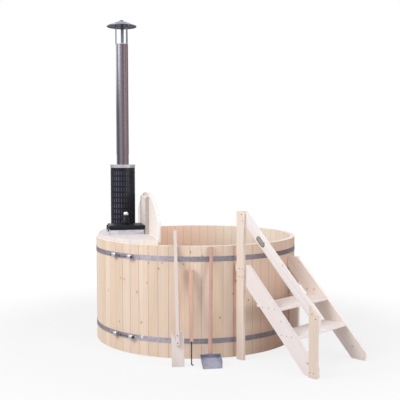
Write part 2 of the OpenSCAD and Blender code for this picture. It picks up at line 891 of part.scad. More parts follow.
module guard_tube() {
    color("black") at_flue() difference() {
        tube(guard_r, guard_r - guard_wall, stove_top, guard_top);
        for (row = [0 : slot_rows - 1], column = [0 : slot_columns / 2 - 1])
            rotate([0, 0, column * 360 / slot_columns])
                translate([-guard_r - cut, -slot_w / 2, stove_top + slot_foot + row * slot_pitch])
                    cube([2 * (guard_r + cut), slot_w, slot_h]);
    }
}

module guard_ring() {
    hole = flue_r + ring_hole_play;
    color("gainsboro") at_flue() translate([0, 0, guard_top]) rotate_extrude($fn = 128) polygon([
        [guard_r - guard_wall, 0],
        [guard_r, 0],
        [guard_r + ring_flare, ring_h],
        [hole, ring_h],
        [hole, ring_h - guard_wall],
        [guard_r + ring_flare - guard_wall, ring_h - guard_wall]]);
}

module cap_sleeve() {
    outer = upper_flue_in - seat_play;
    color("silver") at_flue() {
        tube(outer, outer - sleeve_wall, upper_flue_top - sleeve_len, upper_flue_top);
        tube(flange_out, outer - sleeve_wall, upper_flue_top, upper_flue_top + flange_t);
    }
}

module cap_straps() {
    mid = upper_flue_out - strap_t / 2;
    color("silver") at_flue() difference() {
        for (i = [0 : strap_count - 1]) rotate([0, 0, strap_az - bay_az + i * 360 / strap_count])
            span([mid - strap_t / 2, -strap_w / 2, upper_flue_top + flange_t],
                [mid + strap_t / 2, strap_w / 2, cap_brim_z + cap_h]);
        difference() {
            translate([0, 0, cap_brim_z - cap_h])
                cylinder(r = cap_r, h = 2 * cap_h + cut);
            translate([0, 0, cap_brim_z - cap_wall - strap_play])
                cylinder(r1 = cap_r, r2 = 0, h = cap_h);
            translate([0, 0, cap_brim_z - cap_h - cut])
                cylinder(r = cap_r - cap_wall, h = cap_h - cap_wall + cut);
        }
    }
}

module rain_cap() {
    brim_in = cap_r - cap_wall;
    color("silver") at_flue() translate([0, 0, cap_brim_z]) rotate_extrude() polygon([
        [0, cap_h - cap_wall],
        [brim_in, cap_h * (1 - brim_in / cap_r) - cap_wall],
        [brim_in, -brim_h],
        [cap_r, -brim_h],
        [cap_r, 0],
        [0, cap_h]]);
}

module bench_seats() {
    color("burlywood") for (i = [0 : seat_segments - 1], row = [0 : seat_rows - 1])
        rotate([0, 0, bench_az + (i - (seat_segments - 1) / 2) * segment_angle])
            seat_board(seat_outer - row * (seat_board_w + seat_gap));
}

// One seat board with mitred ends, by the distance of its outer edge from the tub's axis
module seat_board(outer) {
    slope = tan(segment_angle / 2);
    inner = outer - seat_board_w;
    side = segment_play / 2;
    translate([0, 0, seat_h - seat_t]) linear_extrude(seat_t) polygon([
        [inner, side - inner * slope],
        [outer, side - outer * slope],
        [outer, outer * slope - side],
        [inner, inner * slope - side]]);
}

// Places children at every joint of the bench
module at_bench_joints() {
    for (i = [0 : seat_segments]) rotate([0, 0, bench_az + (i - seat_segments / 2) * segment_angle])
        children();
}

module bench_bearers() {
    color("tan") intersection() {
        at_bench_joints() span([bearer_in, -bearer_t / 2, seat_h - seat_t - bearer_h],
            [tub_r, bearer_t / 2, seat_h - seat_t]);
        cylinder(r = inner_flat - seat_play, h = tub_h, $fn = 256);
    }
}

module bench_legs() {
    color("tan") at_bench_joints() translate([bearer_in, -bearer_t / 2, floor_top])
        cube([bench_leg_w, bearer_t, seat_h - seat_t - bearer_h - floor_top]);
}

module drain_strainer() {
    color("gainsboro") translate([0, drain_d, 0]) {
        difference() {
            union() {
                translate([0, 0, floor_top]) cylinder(r = flange_r, h = strainer_t);
                translate([0, 0, drain_z + drain_r]) cylinder(r = drain_r, h = floor_top - drain_z - drain_r);
            }
            translate([0, 0, drain_z]) cylinder(r = drain_bore_r, h = floor_top);
        }
        for (turn = [0, 90]) rotate([0, 0, turn])
            span([-drain_bore_r - strainer_t / 2, -strainer_bar / 2, floor_top],
                [drain_bore_r + strainer_t / 2, strainer_bar / 2, floor_top + strainer_t]);
    }
}

module drain_nut() {
    color("gray") translate([0, drain_d, joist_h - drain_nut_t]) difference() {
        cylinder(r = drain_nut_r, h = drain_nut_t, $fn = 6);
        translate([0, 0, -cut]) cylinder(r = drain_r + pin_play, h = drain_nut_t + 2 * cut);
    }
}

module drain_elbow() {
    color("gainsboro") difference() {
        union() {
            translate([0, drain_d, drain_z]) sphere(r = drain_r);
            translate([0, drain_d, drain_z]) cylinder(r = drain_r, h = drain_r);
            translate([0, drain_d, drain_z]) rotate([-90, 0, 0])
                cylinder(r = drain_r, h = valve_y - drain_d);
        }
        translate([0, drain_d, drain_z]) cylinder(r = drain_bore_r, h = drain_r + cut);
        translate([0, drain_d, drain_z]) sphere(r = drain_bore_r);
        translate([0, drain_d, drain_z]) rotate([-90, 0, 0])
            cylinder(r = drain_bore_r, h = valve_y - drain_d + cut);
    }
}

module drain_valve_body() {
    color("gainsboro") difference() {
        union() {
            translate([0, valve_y, drain_z]) rotate([-90, 0, 0]) cylinder(r = valve_r, h = valve_len);
            translate([0, valve_mid_y, drain_z]) cylinder(r = valve_neck_r, h = valve_top - drain_z);
            translate([0, valve_y + valve_len, drain_z]) rotate([-90, 0, 0])
                cylinder(r = tail_r, h = tail_len);
        }
        translate([0, valve_mid_y, drain_z]) sphere(r = ball_valve_r + ball_play);
        translate([0, valve_y - cut, drain_z]) rotate([-90, 0, 0])
            cylinder(r = valve_bore_r, h = valve_len + tail_len + 2 * cut);
        translate([0, valve_mid_y, drain_z])
            cylinder(r = valve_stem_r + pin_play, h = valve_top);
    }
}

module drain_valve_ball() {
    color("silver") difference() {
        translate([0, valve_mid_y, drain_z]) sphere(r = ball_valve_r);
        translate([0, valve_mid_y - ball_valve_r - cut, drain_z]) rotate([-90, 0, 0])
            cylinder(r = valve_bore_r, h = 2 * (ball_valve_r + cut));
        translate([0, valve_mid_y, drain_z + ball_valve_r - lever_t])
            cylinder(r = valve_stem_r + pin_play, h = ball_valve_r);
    }
}

module drain_valve_lever() {
    color("firebrick") translate([0, valve_mid_y, 0]) {
        translate([0, 0, drain_z + ball_valve_r - lever_t])
            cylinder(r = valve_stem_r, h = valve_top + lever_rise - drain_z - ball_valve_r + lever_t);
        span([-lever_w / 2, -lever_w / 2, valve_top + lever_rise],
            [lever_w / 2, lever_len, valve_top + lever_rise + lever_t]);
    }
}

// Outline of a stringer whose rear end stands at back
module stringer_profile(back) {
    top_x = (stringer_line - stringer_top) / stringer_rise;
    polygon([
        [back, stringer_line - stringer_tall - back * stringer_rise],
        [back, stringer_top],
        [top_x, stringer_top],
        [(stringer_line - toe_h) / stringer_rise, toe_h],
        [stringer_nose, toe_h],
        [stringer_nose, 0],
        [(stringer_line - stringer_tall) / stringer_rise, 0]]);
}

// Stands a profile drawn in x and z upright, with its near face at y
module upright(y, thick) {
    translate([0, y + thick, 0]) rotate([90, 0, 0]) linear_extrude(thick) children();
}

module near_stringer() {
    color("antiquewhite") steps() difference() {
        upright(-steps_half, step_t) stringer_profile(wall_d(near_wall_y, steps_az, seat_play));
        near_screws(tall_screws, bolt_play);
        near_screws(short_screws, bolt_play);
    }
}

module far_stringer() {
    color("antiquewhite") steps() difference() {
        upright(steps_half - step_t, step_t) stringer_profile(wall_d(far_wall_y, steps_az, seat_play));
        far_screws(leg_screws, bolt_play);
    }
}

// A tread between the stringers, by the height of its top and its depth
module tread(z, deep) {
    half = steps_half - step_t;
    front = (stringer_line - z) / stringer_rise + tread_nosing;
    color("linen") steps() span([front - deep, -half, z - step_t], [front, half, z]);
}

module upper_tread() {
    tread(upper_tread_z, upper_tread_d);
}

module lower_tread() {
    tread(lower_tread_z, lower_tread_d);
}

module tall_post() {
    color("antiquewhite") steps() difference() {
        span([tall_post_x, -steps_half - step_t, 0], [tall_post_x + post_w, -steps_half, tall_post_h]);
        near_screws(tall_screws, bolt_play);
    }
}

module short_post() {
    color("antiquewhite") steps() difference() {
        upright(-steps_half - step_t, step_t) polygon([
            [short_post_x, 0],
            [steps_front, 0],
            [steps_front, handrail_line - steps_front * handrail_rise],
            [short_post_x, handrail_line - short_post_x * handrail_rise]]);
        near_screws(short_screws, bolt_play);
    }
}

module rear_leg() {
    color("antiquewhite") steps() difference() {
        span([rear_leg_x, steps_half, 0], [rear_leg_x + rear_leg_w, steps_half + step_t, stringer_top]);
        far_screws(leg_screws, bolt_play);
    }
}

module handrail() {
    low = handrail_line - handrail_tall;
    color("antiquewhite") steps() difference() {
        upright(-steps_half, step_t) polygon([
            [tall_post_x, low - tall_post_x * handrail_rise],
            [tall_post_x, tall_post_h],
            [(handrail_line - tall_post_h) / handrail_rise, tall_post_h],
            [steps_front, handrail_line - steps_front * handrail_rise],
            [steps_front, low - steps_front * handrail_rise]]);
        near_screws(tall_screws, bolt_play);
        near_screws(short_screws, bolt_play);
    }
}

module handrail_plate() {
    color("gray") steps() translate([plate_x, -steps_half, plate_z]) rotate([90, handrail_angle, 0])
        hull() for (side = [-1, 1]) translate([side * oval_plate_half, 0, 0])
            cylinder(r = oval_plate_r, h = oval_plate_t, $fn = 32);
}

// Screw shanks driven in from the near side, at places in x and z
module near_screws(places, play) {
    for (place = places)
        translate([place[0], -steps_half - step_t - cut * sign(play), place[1]]) rotate([-90, 0, 0])
            cylinder(r = screw_r + play, h = screw_len + play + cut * sign(play), $fn = 24);
}

// Screw shanks driven in from the far side, at places in x and z
module far_screws(places, play) {
    for (place = places)
        translate([place[0], steps_half + step_t + cut * sign(play), place[1]]) rotate([90, 0, 0])
            cylinder(r = screw_r + play, h = screw_len + play + cut * sign(play), $fn = 24);
}

module step_screws() {
    color("gray") steps() {
        near_screws(tall_screws, 0);
        near_screws(short_screws, 0);
        far_screws(leg_screws, 0);
        for (place = concat(tall_screws, short_screws))
            translate([place[0], -steps_half - step_t, place[1]]) rotate([90, 0, 0])
                cylinder(r = screw_head_r, h = screw_head_t, $fn = 24);
        for (place = leg_screws)
            translate([place[0], steps_half + step_t, place[1]]) rotate([-90, 0, 0])
                cylinder(r = screw_head_r, h = screw_head_t, $fn = 24);
    }
}

// Stands the paddle at its foot and leans it on the rim: x across, y towards the tub
module paddle() {
    lift = blade_w / 2 * sin(abs(paddle_tilt));
    translate([blade_foot_x, blade_foot_y, lift]) rotate([-paddle_lean, 0, 0])
        rotate([0, paddle_tilt, 0]) children();
}

module paddle_blade() {
    color("antiquewhite") paddle() difference() {
        span([-blade_w / 2, -blade_t, 0], [blade_w / 2, 0, blade_h]);
        paddle_screw_shanks(bolt_play);
    }
}

module paddle_shaft() {
    color("antiquewhite") paddle() difference() {
        span([-shaft_w / 2, -blade_t - shaft_w, shaft_foot], [shaft_w / 2, -blade_t, paddle_len]);
        paddle_screw_shanks(bolt_play);
    }
}

// Shanks of the screws that join the paddle's shaft to its blade
module paddle_screw_shanks(play) {
    for (z = paddle_screw_zs) translate([0, -blade_t - shaft_w - cut * sign(play), z])
        rotate([-90, 0, 0]) cylinder(r = screw_r + play, $fn = 24,
            h = shaft_w + blade_t / 2 + play + cut * sign(play));
}

module paddle_screws() {
    color("gray") paddle() {
        paddle_screw_shanks(0);
        for (z = paddle_screw_zs) translate([0, -blade_t - shaft_w, z]) rotate([90, 0, 0])
            cylinder(r = screw_head_r, h = screw_head_t, $fn = 24);
    }
}

// Stands the poker on its hook and leans it on the staves
module poker() {
    translate([poker_x, poker_y, rod_r]) rotate([-poker_lean, 0, 0]) children();
}

module poker_handle() {
    color("lightsalmon") poker() difference() {
        translate([0, 0, poker_len - poker_handle_len])
            cylinder(r1 = poker_r1, r2 = poker_r2, h = poker_handle_len);
        translate([0, 0, poker_len - poker_handle_len - cut])
            cylinder(r = rod_r + bolt_play, h = rod_grip + cut + bolt_play);
    }
}

module poker_rod() {
    color("dimgray") poker() {
        sphere(r = rod_r);
        cylinder(r = rod_r, h = poker_len - poker_handle_len + rod_grip);
        rotate([0, 0, hook_turn]) rotate([90, 0, 0]) cylinder(r = rod_r, h = hook_len);
    }
}

// Stands the shovel's handle on the back of its pan and leans it on the staves
module shovel_stick() {
    translate([shovel_foot_x, shovel_foot_y, shovel_foot_z]) rotate([-shovel_lean, 0, 0])
        rotate([0, shovel_tilt, 0]) children();
}

module shovel_handle() {
    color("salmon") shovel_stick() translate([0, 0, pan_t + seat_play])
        cylinder(r = shovel_r, h = shovel_len - pan_t - seat_play);
}

// Side wall of the pan, drawn in its own plane
module pan_side_outline() {
    polygon([[0, 0], [pan_len, 0], [pan_len, pan_side], [pan_len * pan_slope_share, pan_side]]);
}

// A side wall that flares outwards from the right edge of the pan
module pan_side_wall() {
    translate([pan_w / 2 - pan_t, 0, 0]) rotate([0, pan_flare, 0]) rotate([90, 0, 90])
        linear_extrude(pan_t) pan_side_outline();
}

module shovel_pan() {
    color("slategray") difference() {
        union() {
            translate([shovel_x, shovel_y, 0]) rotate([0, 0, shovel_yaw]) rotate([pan_angle, 0, 0]) {
                span([-pan_w / 2, 0, 0], [pan_w / 2, pan_len, pan_t]);
                span([-pan_w / 2, pan_len - pan_t, 0], [pan_w / 2, pan_len, pan_side]);
                pan_side_wall();
                mirror([1, 0, 0]) pan_side_wall();
            }
            shovel_stick() cylinder(r = pan_socket_r, h = pan_socket_len);
        }
        shovel_stick() translate([0, 0, pan_t])
            cylinder(r = shovel_r + seat_play, h = pan_socket_len);
    }
}

staves();
floor_boards();
floor_joists();
top_hoop();
bottom_hoop();
hoop_lugs();
hoop_bolts();
hoop_nuts();
cover_boards();
cover_cleats();
fence_boards();
fence_uprights();
fence_rails();
stove_body();
stove_feet();
stove_baffle();
stove_grate();
lid_seal();
lid_shell();
lid_insulation();
lid_hinge_ears();
lid_hinge_brackets();
lid_hinge_pins();
lid_handle_stem();
lid_handle_ball();
lower_flue();
upper_flue();
flue_rivets();
guard_tube();
guard_ring();
cap_sleeve();
cap_straps();
rain_cap();
bench_seats();
bench_bearers();
bench_legs();
drain_strainer();
drain_elbow();
drain_nut();
drain_valve_body();
drain_valve_ball();
drain_valve_lever();
near_stringer();
far_stringer();
upper_tread();
lower_tread();
tall_post();
short_post();
rear_leg();
handrail();
handrail_plate();
step_screws();
paddle_blade();
paddle_shaft();
paddle_screws();
poker_handle();
poker_rod();
shovel_handle();
shovel_pan();
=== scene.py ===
import random
from math import atan2, copysign, cos, hypot, pi, radians, sin, sqrt, tan

import bmesh
import bpy
from mathutils import Matrix, Vector


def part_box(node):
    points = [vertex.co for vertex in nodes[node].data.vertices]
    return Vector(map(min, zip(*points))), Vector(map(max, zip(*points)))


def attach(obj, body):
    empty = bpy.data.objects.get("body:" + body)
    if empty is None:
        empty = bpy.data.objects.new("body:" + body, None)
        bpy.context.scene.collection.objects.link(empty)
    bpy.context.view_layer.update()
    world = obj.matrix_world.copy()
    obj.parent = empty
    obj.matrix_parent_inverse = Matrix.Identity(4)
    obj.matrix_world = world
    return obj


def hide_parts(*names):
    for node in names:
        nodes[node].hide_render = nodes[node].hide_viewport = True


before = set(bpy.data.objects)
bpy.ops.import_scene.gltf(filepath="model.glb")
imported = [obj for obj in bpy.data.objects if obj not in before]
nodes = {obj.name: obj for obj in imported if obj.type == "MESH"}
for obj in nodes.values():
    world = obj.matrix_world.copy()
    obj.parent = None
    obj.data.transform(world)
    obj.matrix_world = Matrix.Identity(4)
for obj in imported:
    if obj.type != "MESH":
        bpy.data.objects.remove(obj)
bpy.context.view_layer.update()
print("frame loaded with", len(nodes), "nodes")


class Look(dict):
    # settings of a piece, read by name
    __getattr__ = dict.__getitem__


def moved(point):
    return Matrix.Translation(point)


def spun(angle, axis):
    return Matrix.Rotation(angle, 4, axis)


# Camera, fitted to the rim, the hoops and the base of the tub
camera = Look(place=(0.0, -7.31358, 1.78405), pitch=3.31, yaw=0.362, roll=-0.115, lens=64.84, sensor=36.0)


def makeCamera(look):
    pitch, yaw, roll = (radians(look[key]) for key in ("pitch", "yaw", "roll"))
    ahead = Vector((sin(yaw) * cos(pitch), cos(yaw) * cos(pitch), -sin(pitch)))
    level = ahead.cross(Vector((0, 0, 1))).normalized()
    over = level.cross(ahead)
    right = cos(roll) * level + sin(roll) * over
    up = -sin(roll) * level + cos(roll) * over
    data = bpy.data.cameras.new("camera")
    data.lens, data.sensor_width = look.lens, look.sensor
    made = bpy.data.objects.new("camera", data)
    bpy.context.scene.collection.objects.link(made)
    turn = Matrix((right, up, -ahead)).transposed().to_4x4()
    made.matrix_world = moved(look.place) @ turn
    bpy.context.scene.camera = made


makeCamera(camera)
print("camera placed")


def tone(text, share=1.0):
    # a colour written as on a paint chart, made linear
    parts = [int(text[i:i + 2], 16) / 255 for i in (0, 2, 4)]
    linear = [p / 12.92 if p <= 0.04045 else ((p + 0.055) / 1.055) ** 2.4 for p in parts]
    return tuple(p * share for p in linear) + (1.0,)


def pick(sockets, key):
    if isinstance(key, int):
        return sockets[key]
    return next(s for s in sockets if s.name == key and s.enabled)


def operator(operation, swapped=False):
    # a sum on values, made as a Math node
    def apply(self, *others):
        values = (self,) + others
        return self.tree.node("Math", {"operation": operation},
            dict(enumerate(values[::-1] if swapped else values)))
    return apply


class Sock:
    # a value among nodes: a sum on it adds its Math nodes
    def __init__(self, tree, socket):
        self.tree, self.socket = tree, socket

    __add__ = __radd__ = operator("ADD")
    __mul__ = __rmul__ = operator("MULTIPLY")
    __sub__, __rsub__ = operator("SUBTRACT"), operator("SUBTRACT", True)
    __truediv__, __pow__ = operator("DIVIDE"), operator("POWER")
    __gt__, __lt__ = operator("GREATER_THAN"), operator("LESS_THAN")
    __abs__ = operator("ABSOLUTE")
    floor, fract = operator("FLOOR"), operator("FRACT")
    sine, cosine, bearing = operator("SINE"), operator("COSINE"), operator("ARCTAN2")
    least, most = operator("MINIMUM"), operator("MAXIMUM")

    def between(self, low, high, fromLow=0.0, fromHigh=1.0, smooth=False):
        kind = "SMOOTHSTEP" if smooth else "LINEAR"
        return self.tree.node("MapRange", {"interpolation_type": kind},
            {"Value": self, "From Min": fromLow, "From Max": fromHigh, "To Min": low, "To Max": high})


class Tree:
    # the nodes of a material or of the sky
    def __init__(self, owner):
        owner.use_nodes = True
        self.nodes, self.links = owner.node_tree.nodes, owner.node_tree.links

    def feed(self, inputs, values):
        for key, value in (values or {}).items():
            socket = pick(inputs, key)
            if isinstance(value, Sock):
                self.links.new(value.socket, socket)
            else:
                socket.default_value = value

    def node(self, kind, settings=None, values=None, out=None):
        made = self.nodes.new("ShaderNode" + kind)
        for key, value in (settings or {}).items():
            setattr(made, key, value)
        self.feed(made.inputs, values)
        if out is None:
            return Sock(self, next(s for s in made.outputs if s.enabled))
        return Sock(self, pick(made.outputs, out))

    def mix(self, share, first, second, kind="MIX"):
        return self.node("Mix", {"data_type": "RGBA", "blend_type": kind},
            {"Factor": share, "A": first, "B": second})

    def vector(self, x, y, z):
        return self.node("CombineXYZ", None, {"X": x, "Y": y, "Z": z})

    def split(self, vector):
        first = self.node("SeparateXYZ", None, {0: vector})
        return [Sock(self, s) for s in first.socket.node.outputs]

    def vectors(self, operation, first, second=(0, 0, 0), out="Value"):
        return self.node("VectorMath", {"operation": operation},
            {0: first, 1: second if isinstance(second, Sock) else tuple(second)}, out)

    def ramp(self, stops, place):
        made = self.node("ValToRGB", None, {"Fac": place}, "Color")
        marks = made.socket.node.color_ramp.elements
        while len(marks) < len(stops):
            marks.new(0.5)
        for mark, (position, colour) in zip(marks, stops):
            mark.position, mark.color = position, tone(colour)
        return made

    def dim(self, colour, share):
        grey = self.node("CombineColor", None, {"Red": share, "Green": share, "Blue": share})
        return self.mix(1.0, colour, grey, "MULTIPLY")

    def noise(self, vector, scale=1.0, detail=3.0, rough=0.5):
        return self.node("TexNoise", None, {"Vector": vector, "Scale": scale, "Detail": detail,
            "Roughness": rough}, "Fac")

    def chance(self, value, out="Value"):
        return self.node("TexWhiteNoise", {"noise_dimensions": "1D"}, {"W": value}, out)


class Finish(Tree):
    # one material, with its shader
    def __init__(self, name, **values):
        self.material = bpy.data.materials.new(name)
        super().__init__(self.material)
        self.shader = self.nodes["Principled BSDF"]
        self.put(values)

    def put(self, values):
        self.feed(self.shader.inputs, values)

    def place(self):
        return self.node("TexCoord", out="Object")

    def bump(self, height, depth, strength=1.0):
        self.put({"Normal": self.node("Bump", None, {"Height": height, "Distance": depth,
            "Strength": strength})})


def outAndAside(bearing):
    # level directions away from the tub's axis and across it
    turn = radians(bearing)
    return Vector((cos(turn), sin(turn), 0)), Vector((-sin(turn), cos(turn), 0))


# Directions of the stove bay and of the steps
bayBearing, stepBearing, stepShift = 191, -45, -0.05
bayOut, baySide = outAndAside(bayBearing)
stepOut, stepSide = outAndAside(stepBearing)
rightward, backward, upward = Vector((1, 0, 0)), Vector((0, 1, 0)), Vector((0, 0, 1))


def inBay(x, y, z):
    return bayOut * x + baySide * y + upward * z


def inSteps(x, y, z):
    return stepOut * x + stepSide * (y + stepShift) + upward * z


def edgeOf(part):
    # distance to the nearer joint, in board widths
    return 0.5 - abs(part.fract() - 0.5)


def straightBoard(along, across, pitch=10.0, start=0.0):
    # places on boards that run along one direction, side by side
    ways = along, across, along.cross(across)

    def read(finish):
        place = finish.place()
        length, width, depth = (finish.vectors("DOT_PRODUCT", place, way) for way in ways)
        part = (width - start) / pitch
        return length, width, depth, part.floor(), edgeOf(part) * pitch, along
    return read


def staveBoard(count=64, radius=1.0):
    # places on staves that stand round an axis
    around = 2 * pi * radius

    def read(finish):
        x, y, z = finish.split(finish.place())
        turn = y.bearing(x) / (2 * pi)
        part = (turn + (1 + 0.5 / count)).fract() * count
        out = (x * x + y * y) ** 0.5
        return z, turn * around, out, part.floor(), edgeOf(part) * (around / count), upward
    return read


def ringBoard(turn, angle, outer, pitch, radial=False):
    # places on boards laid in straight lengths round the tub
    centre = 0.5 if radial else 0.0

    def read(finish):
        x, y, z = finish.split(finish.place())
        cosine, sine = cos(turn), sin(turn)
        ahead, aside = x * cosine + y * sine, y * cosine - x * sine
        bearing = aside.bearing(ahead) / angle
        number = (bearing + (0.5 - centre)).floor()
        local = (bearing - number - centre) * angle
        reach = (ahead * ahead + aside * aside) ** 0.5
        depth, side = reach * local.cosine(), reach * local.sine()
        row = (outer - depth) / pitch
        edge = edgeOf(row) * pitch
        if radial:
            return depth, side, z, number, edge, upward
        return side, depth, z, number * 7 + row.floor(), edge, upward
    return read


def woodLook(tones, **look):
    # the tones of pale, warm, blushing and late wood, of knots and of sawn ends
    return Look(zip(("pale", "warm", "blush", "late", "knot", "end"), tones.split()), **look)


# What the woods of the tub look like
woods = {
    "stave": woodLook("f2e1d0 e5cbaf e9cebf cba588 7d543c faf0e6", vary=0.42, knotShare=0.93,
        ring=0.0052, figure=0.3, joint=0.3,
        # inner: fresher wood inside, painted lighter on its right, and in warm painted shade and
        # reflection on its left beside the stove
        inner=Look(left="f8d6c1", right="fcf3e4", at=0.9575, share=0.82),
        streak=Look(stave=52, stain="c98a62", share=0.55),
        # aged: browner wood with painted shade on the side away from the stove, and a painted shadow of
        # the steps low down
        aged=Look(tone="b98d78", share=0.5, span=(-1.25, -0.75), until=0.6,
            low="7a5142", lowShare=0.9, lowSpan=(0.3, 0.75))),
    "fence": woodLook("e9e4e5 e3dbd5 e5dcdd d1c0b1 a37d5e efe0cf", vary=0.4, knotShare=0.9,
        ring=0.0048, figure=0.2, joint=0.18),
    "steps": woodLook("f4f0ef f0e3dc f4e5e6 dec5b9 9b725a eadaca", vary=0.4, knotShare=0.9,
        ring=0.0055, figure=0.22, joint=0.0),
    "inside": woodLook("e9d0b2 dcb48c e0b497 bf8d66 7a4a2c e9d3b8", vary=0.7, knotShare=0.8,
        ring=0.005, figure=0.4, joint=0.4),
    "paddle": woodLook("dfd3d0 d9ccc5 dccdcb cab7ac a5806a e4d6ca", vary=0.3, knotShare=1.0,
        ring=0.006, figure=0.12, joint=0.0),
    "poker": woodLook("d7b3a1 cea792 d3ac9a b88a73 8a4e36 e2b8a4", vary=0.4, knotShare=1.0,
        ring=0.004, figure=0.35, joint=0.0),
    "shovel": woodLook("cba699 c29b8d c79e93 a98071 8a4a3c deb0a2", vary=0.4, knotShare=1.0,
        ring=0.004, figure=0.35, joint=0.0),
}
woods["screen"] = Look(woods["fence"], pale="f8f1ee", warm="f3e9e0", blush="f6ebe8", late="e2d2c4",
    end="f6efe8", joint=0.75, within=0.797)
woods["post"] = Look(woods["steps"], pale="efe2d6", warm="e8d2c0", blush="edd8cc", late="d0b49c")
# the far stringer's copy of the step wood is painted paler, standing in for light on its shaded faces
woods["far"] = Look(woods["steps"], pale="fff5ee", warm="fdeadc", blush="fdeae3", late="e6ccb8")

# Knots that show on the near side of the tub: bearing in degrees, height and size in metres
staveKnots = [(-122.1, 0.576, 0.010), (-114.9, 0.851, 0.008), (-109.3, 0.805, 0.009),
    (-107.3, 0.854, 0.007), (-133.4, 0.684, 0.009), (-130.9, 0.678, 0.008),
    (-135.2, 0.276, 0.009), (-119.5, 0.304, 0.010), (-115.9, 0.669, 0.007),
    (-69.0, 0.689, 0.012), (-70.3, 0.577, 0.009), (-61.6, 0.507, 0.011),
    (-77.5, 0.369, 0.010), (-96.1, 0.850, 0.008), (-145.4, 0.545, 0.008)]

# and on the steps' boards: place across and along the board, and size
boardKnots = {
    "staves": [(radians(bearing), height, size) for bearing, height, size in staveKnots],
    "far_stringer": [(1.242, 0.415, 0.011), (1.302, 0.467, 0.010), (1.287, 1.090, 0.009),
        (1.339, 0.175, 0.006)],
    "handrail": [(1.657, 0.367, 0.008), (1.638, 0.103, 0.006)],
    "near_stringer": [(1.317, 0.700, 0.007), (1.372, 0.374, 0.006)],
}

# How the woods grow, in metres, and how much of each mark shows
growth = Look(pithAcross=0.16, pithNear=0.03, pithFar=0.06, drift=0.07, sway=0.006, swell=0.004,
    cell=(0.13, 0.46), squash=0.72, knotLeast=0.0035, knotMore=0.007, shownKnot=0.8, clouds=0.7,
    fibres=0.14, pores=0.3, bands=0.75, lots=0.13, halo=0.22, knot=0.65, joint=(0.0008, 0.0042),
    jointTone=0.55, rough=0.52, bump=0.0006, swayRun=(9, 9, 1.7), cloudRun=(10, 10, 2.2),
    poreRun=(150, 150, 3), bandRun=(70, 20, 0.5), fibreRun=(520, 9))


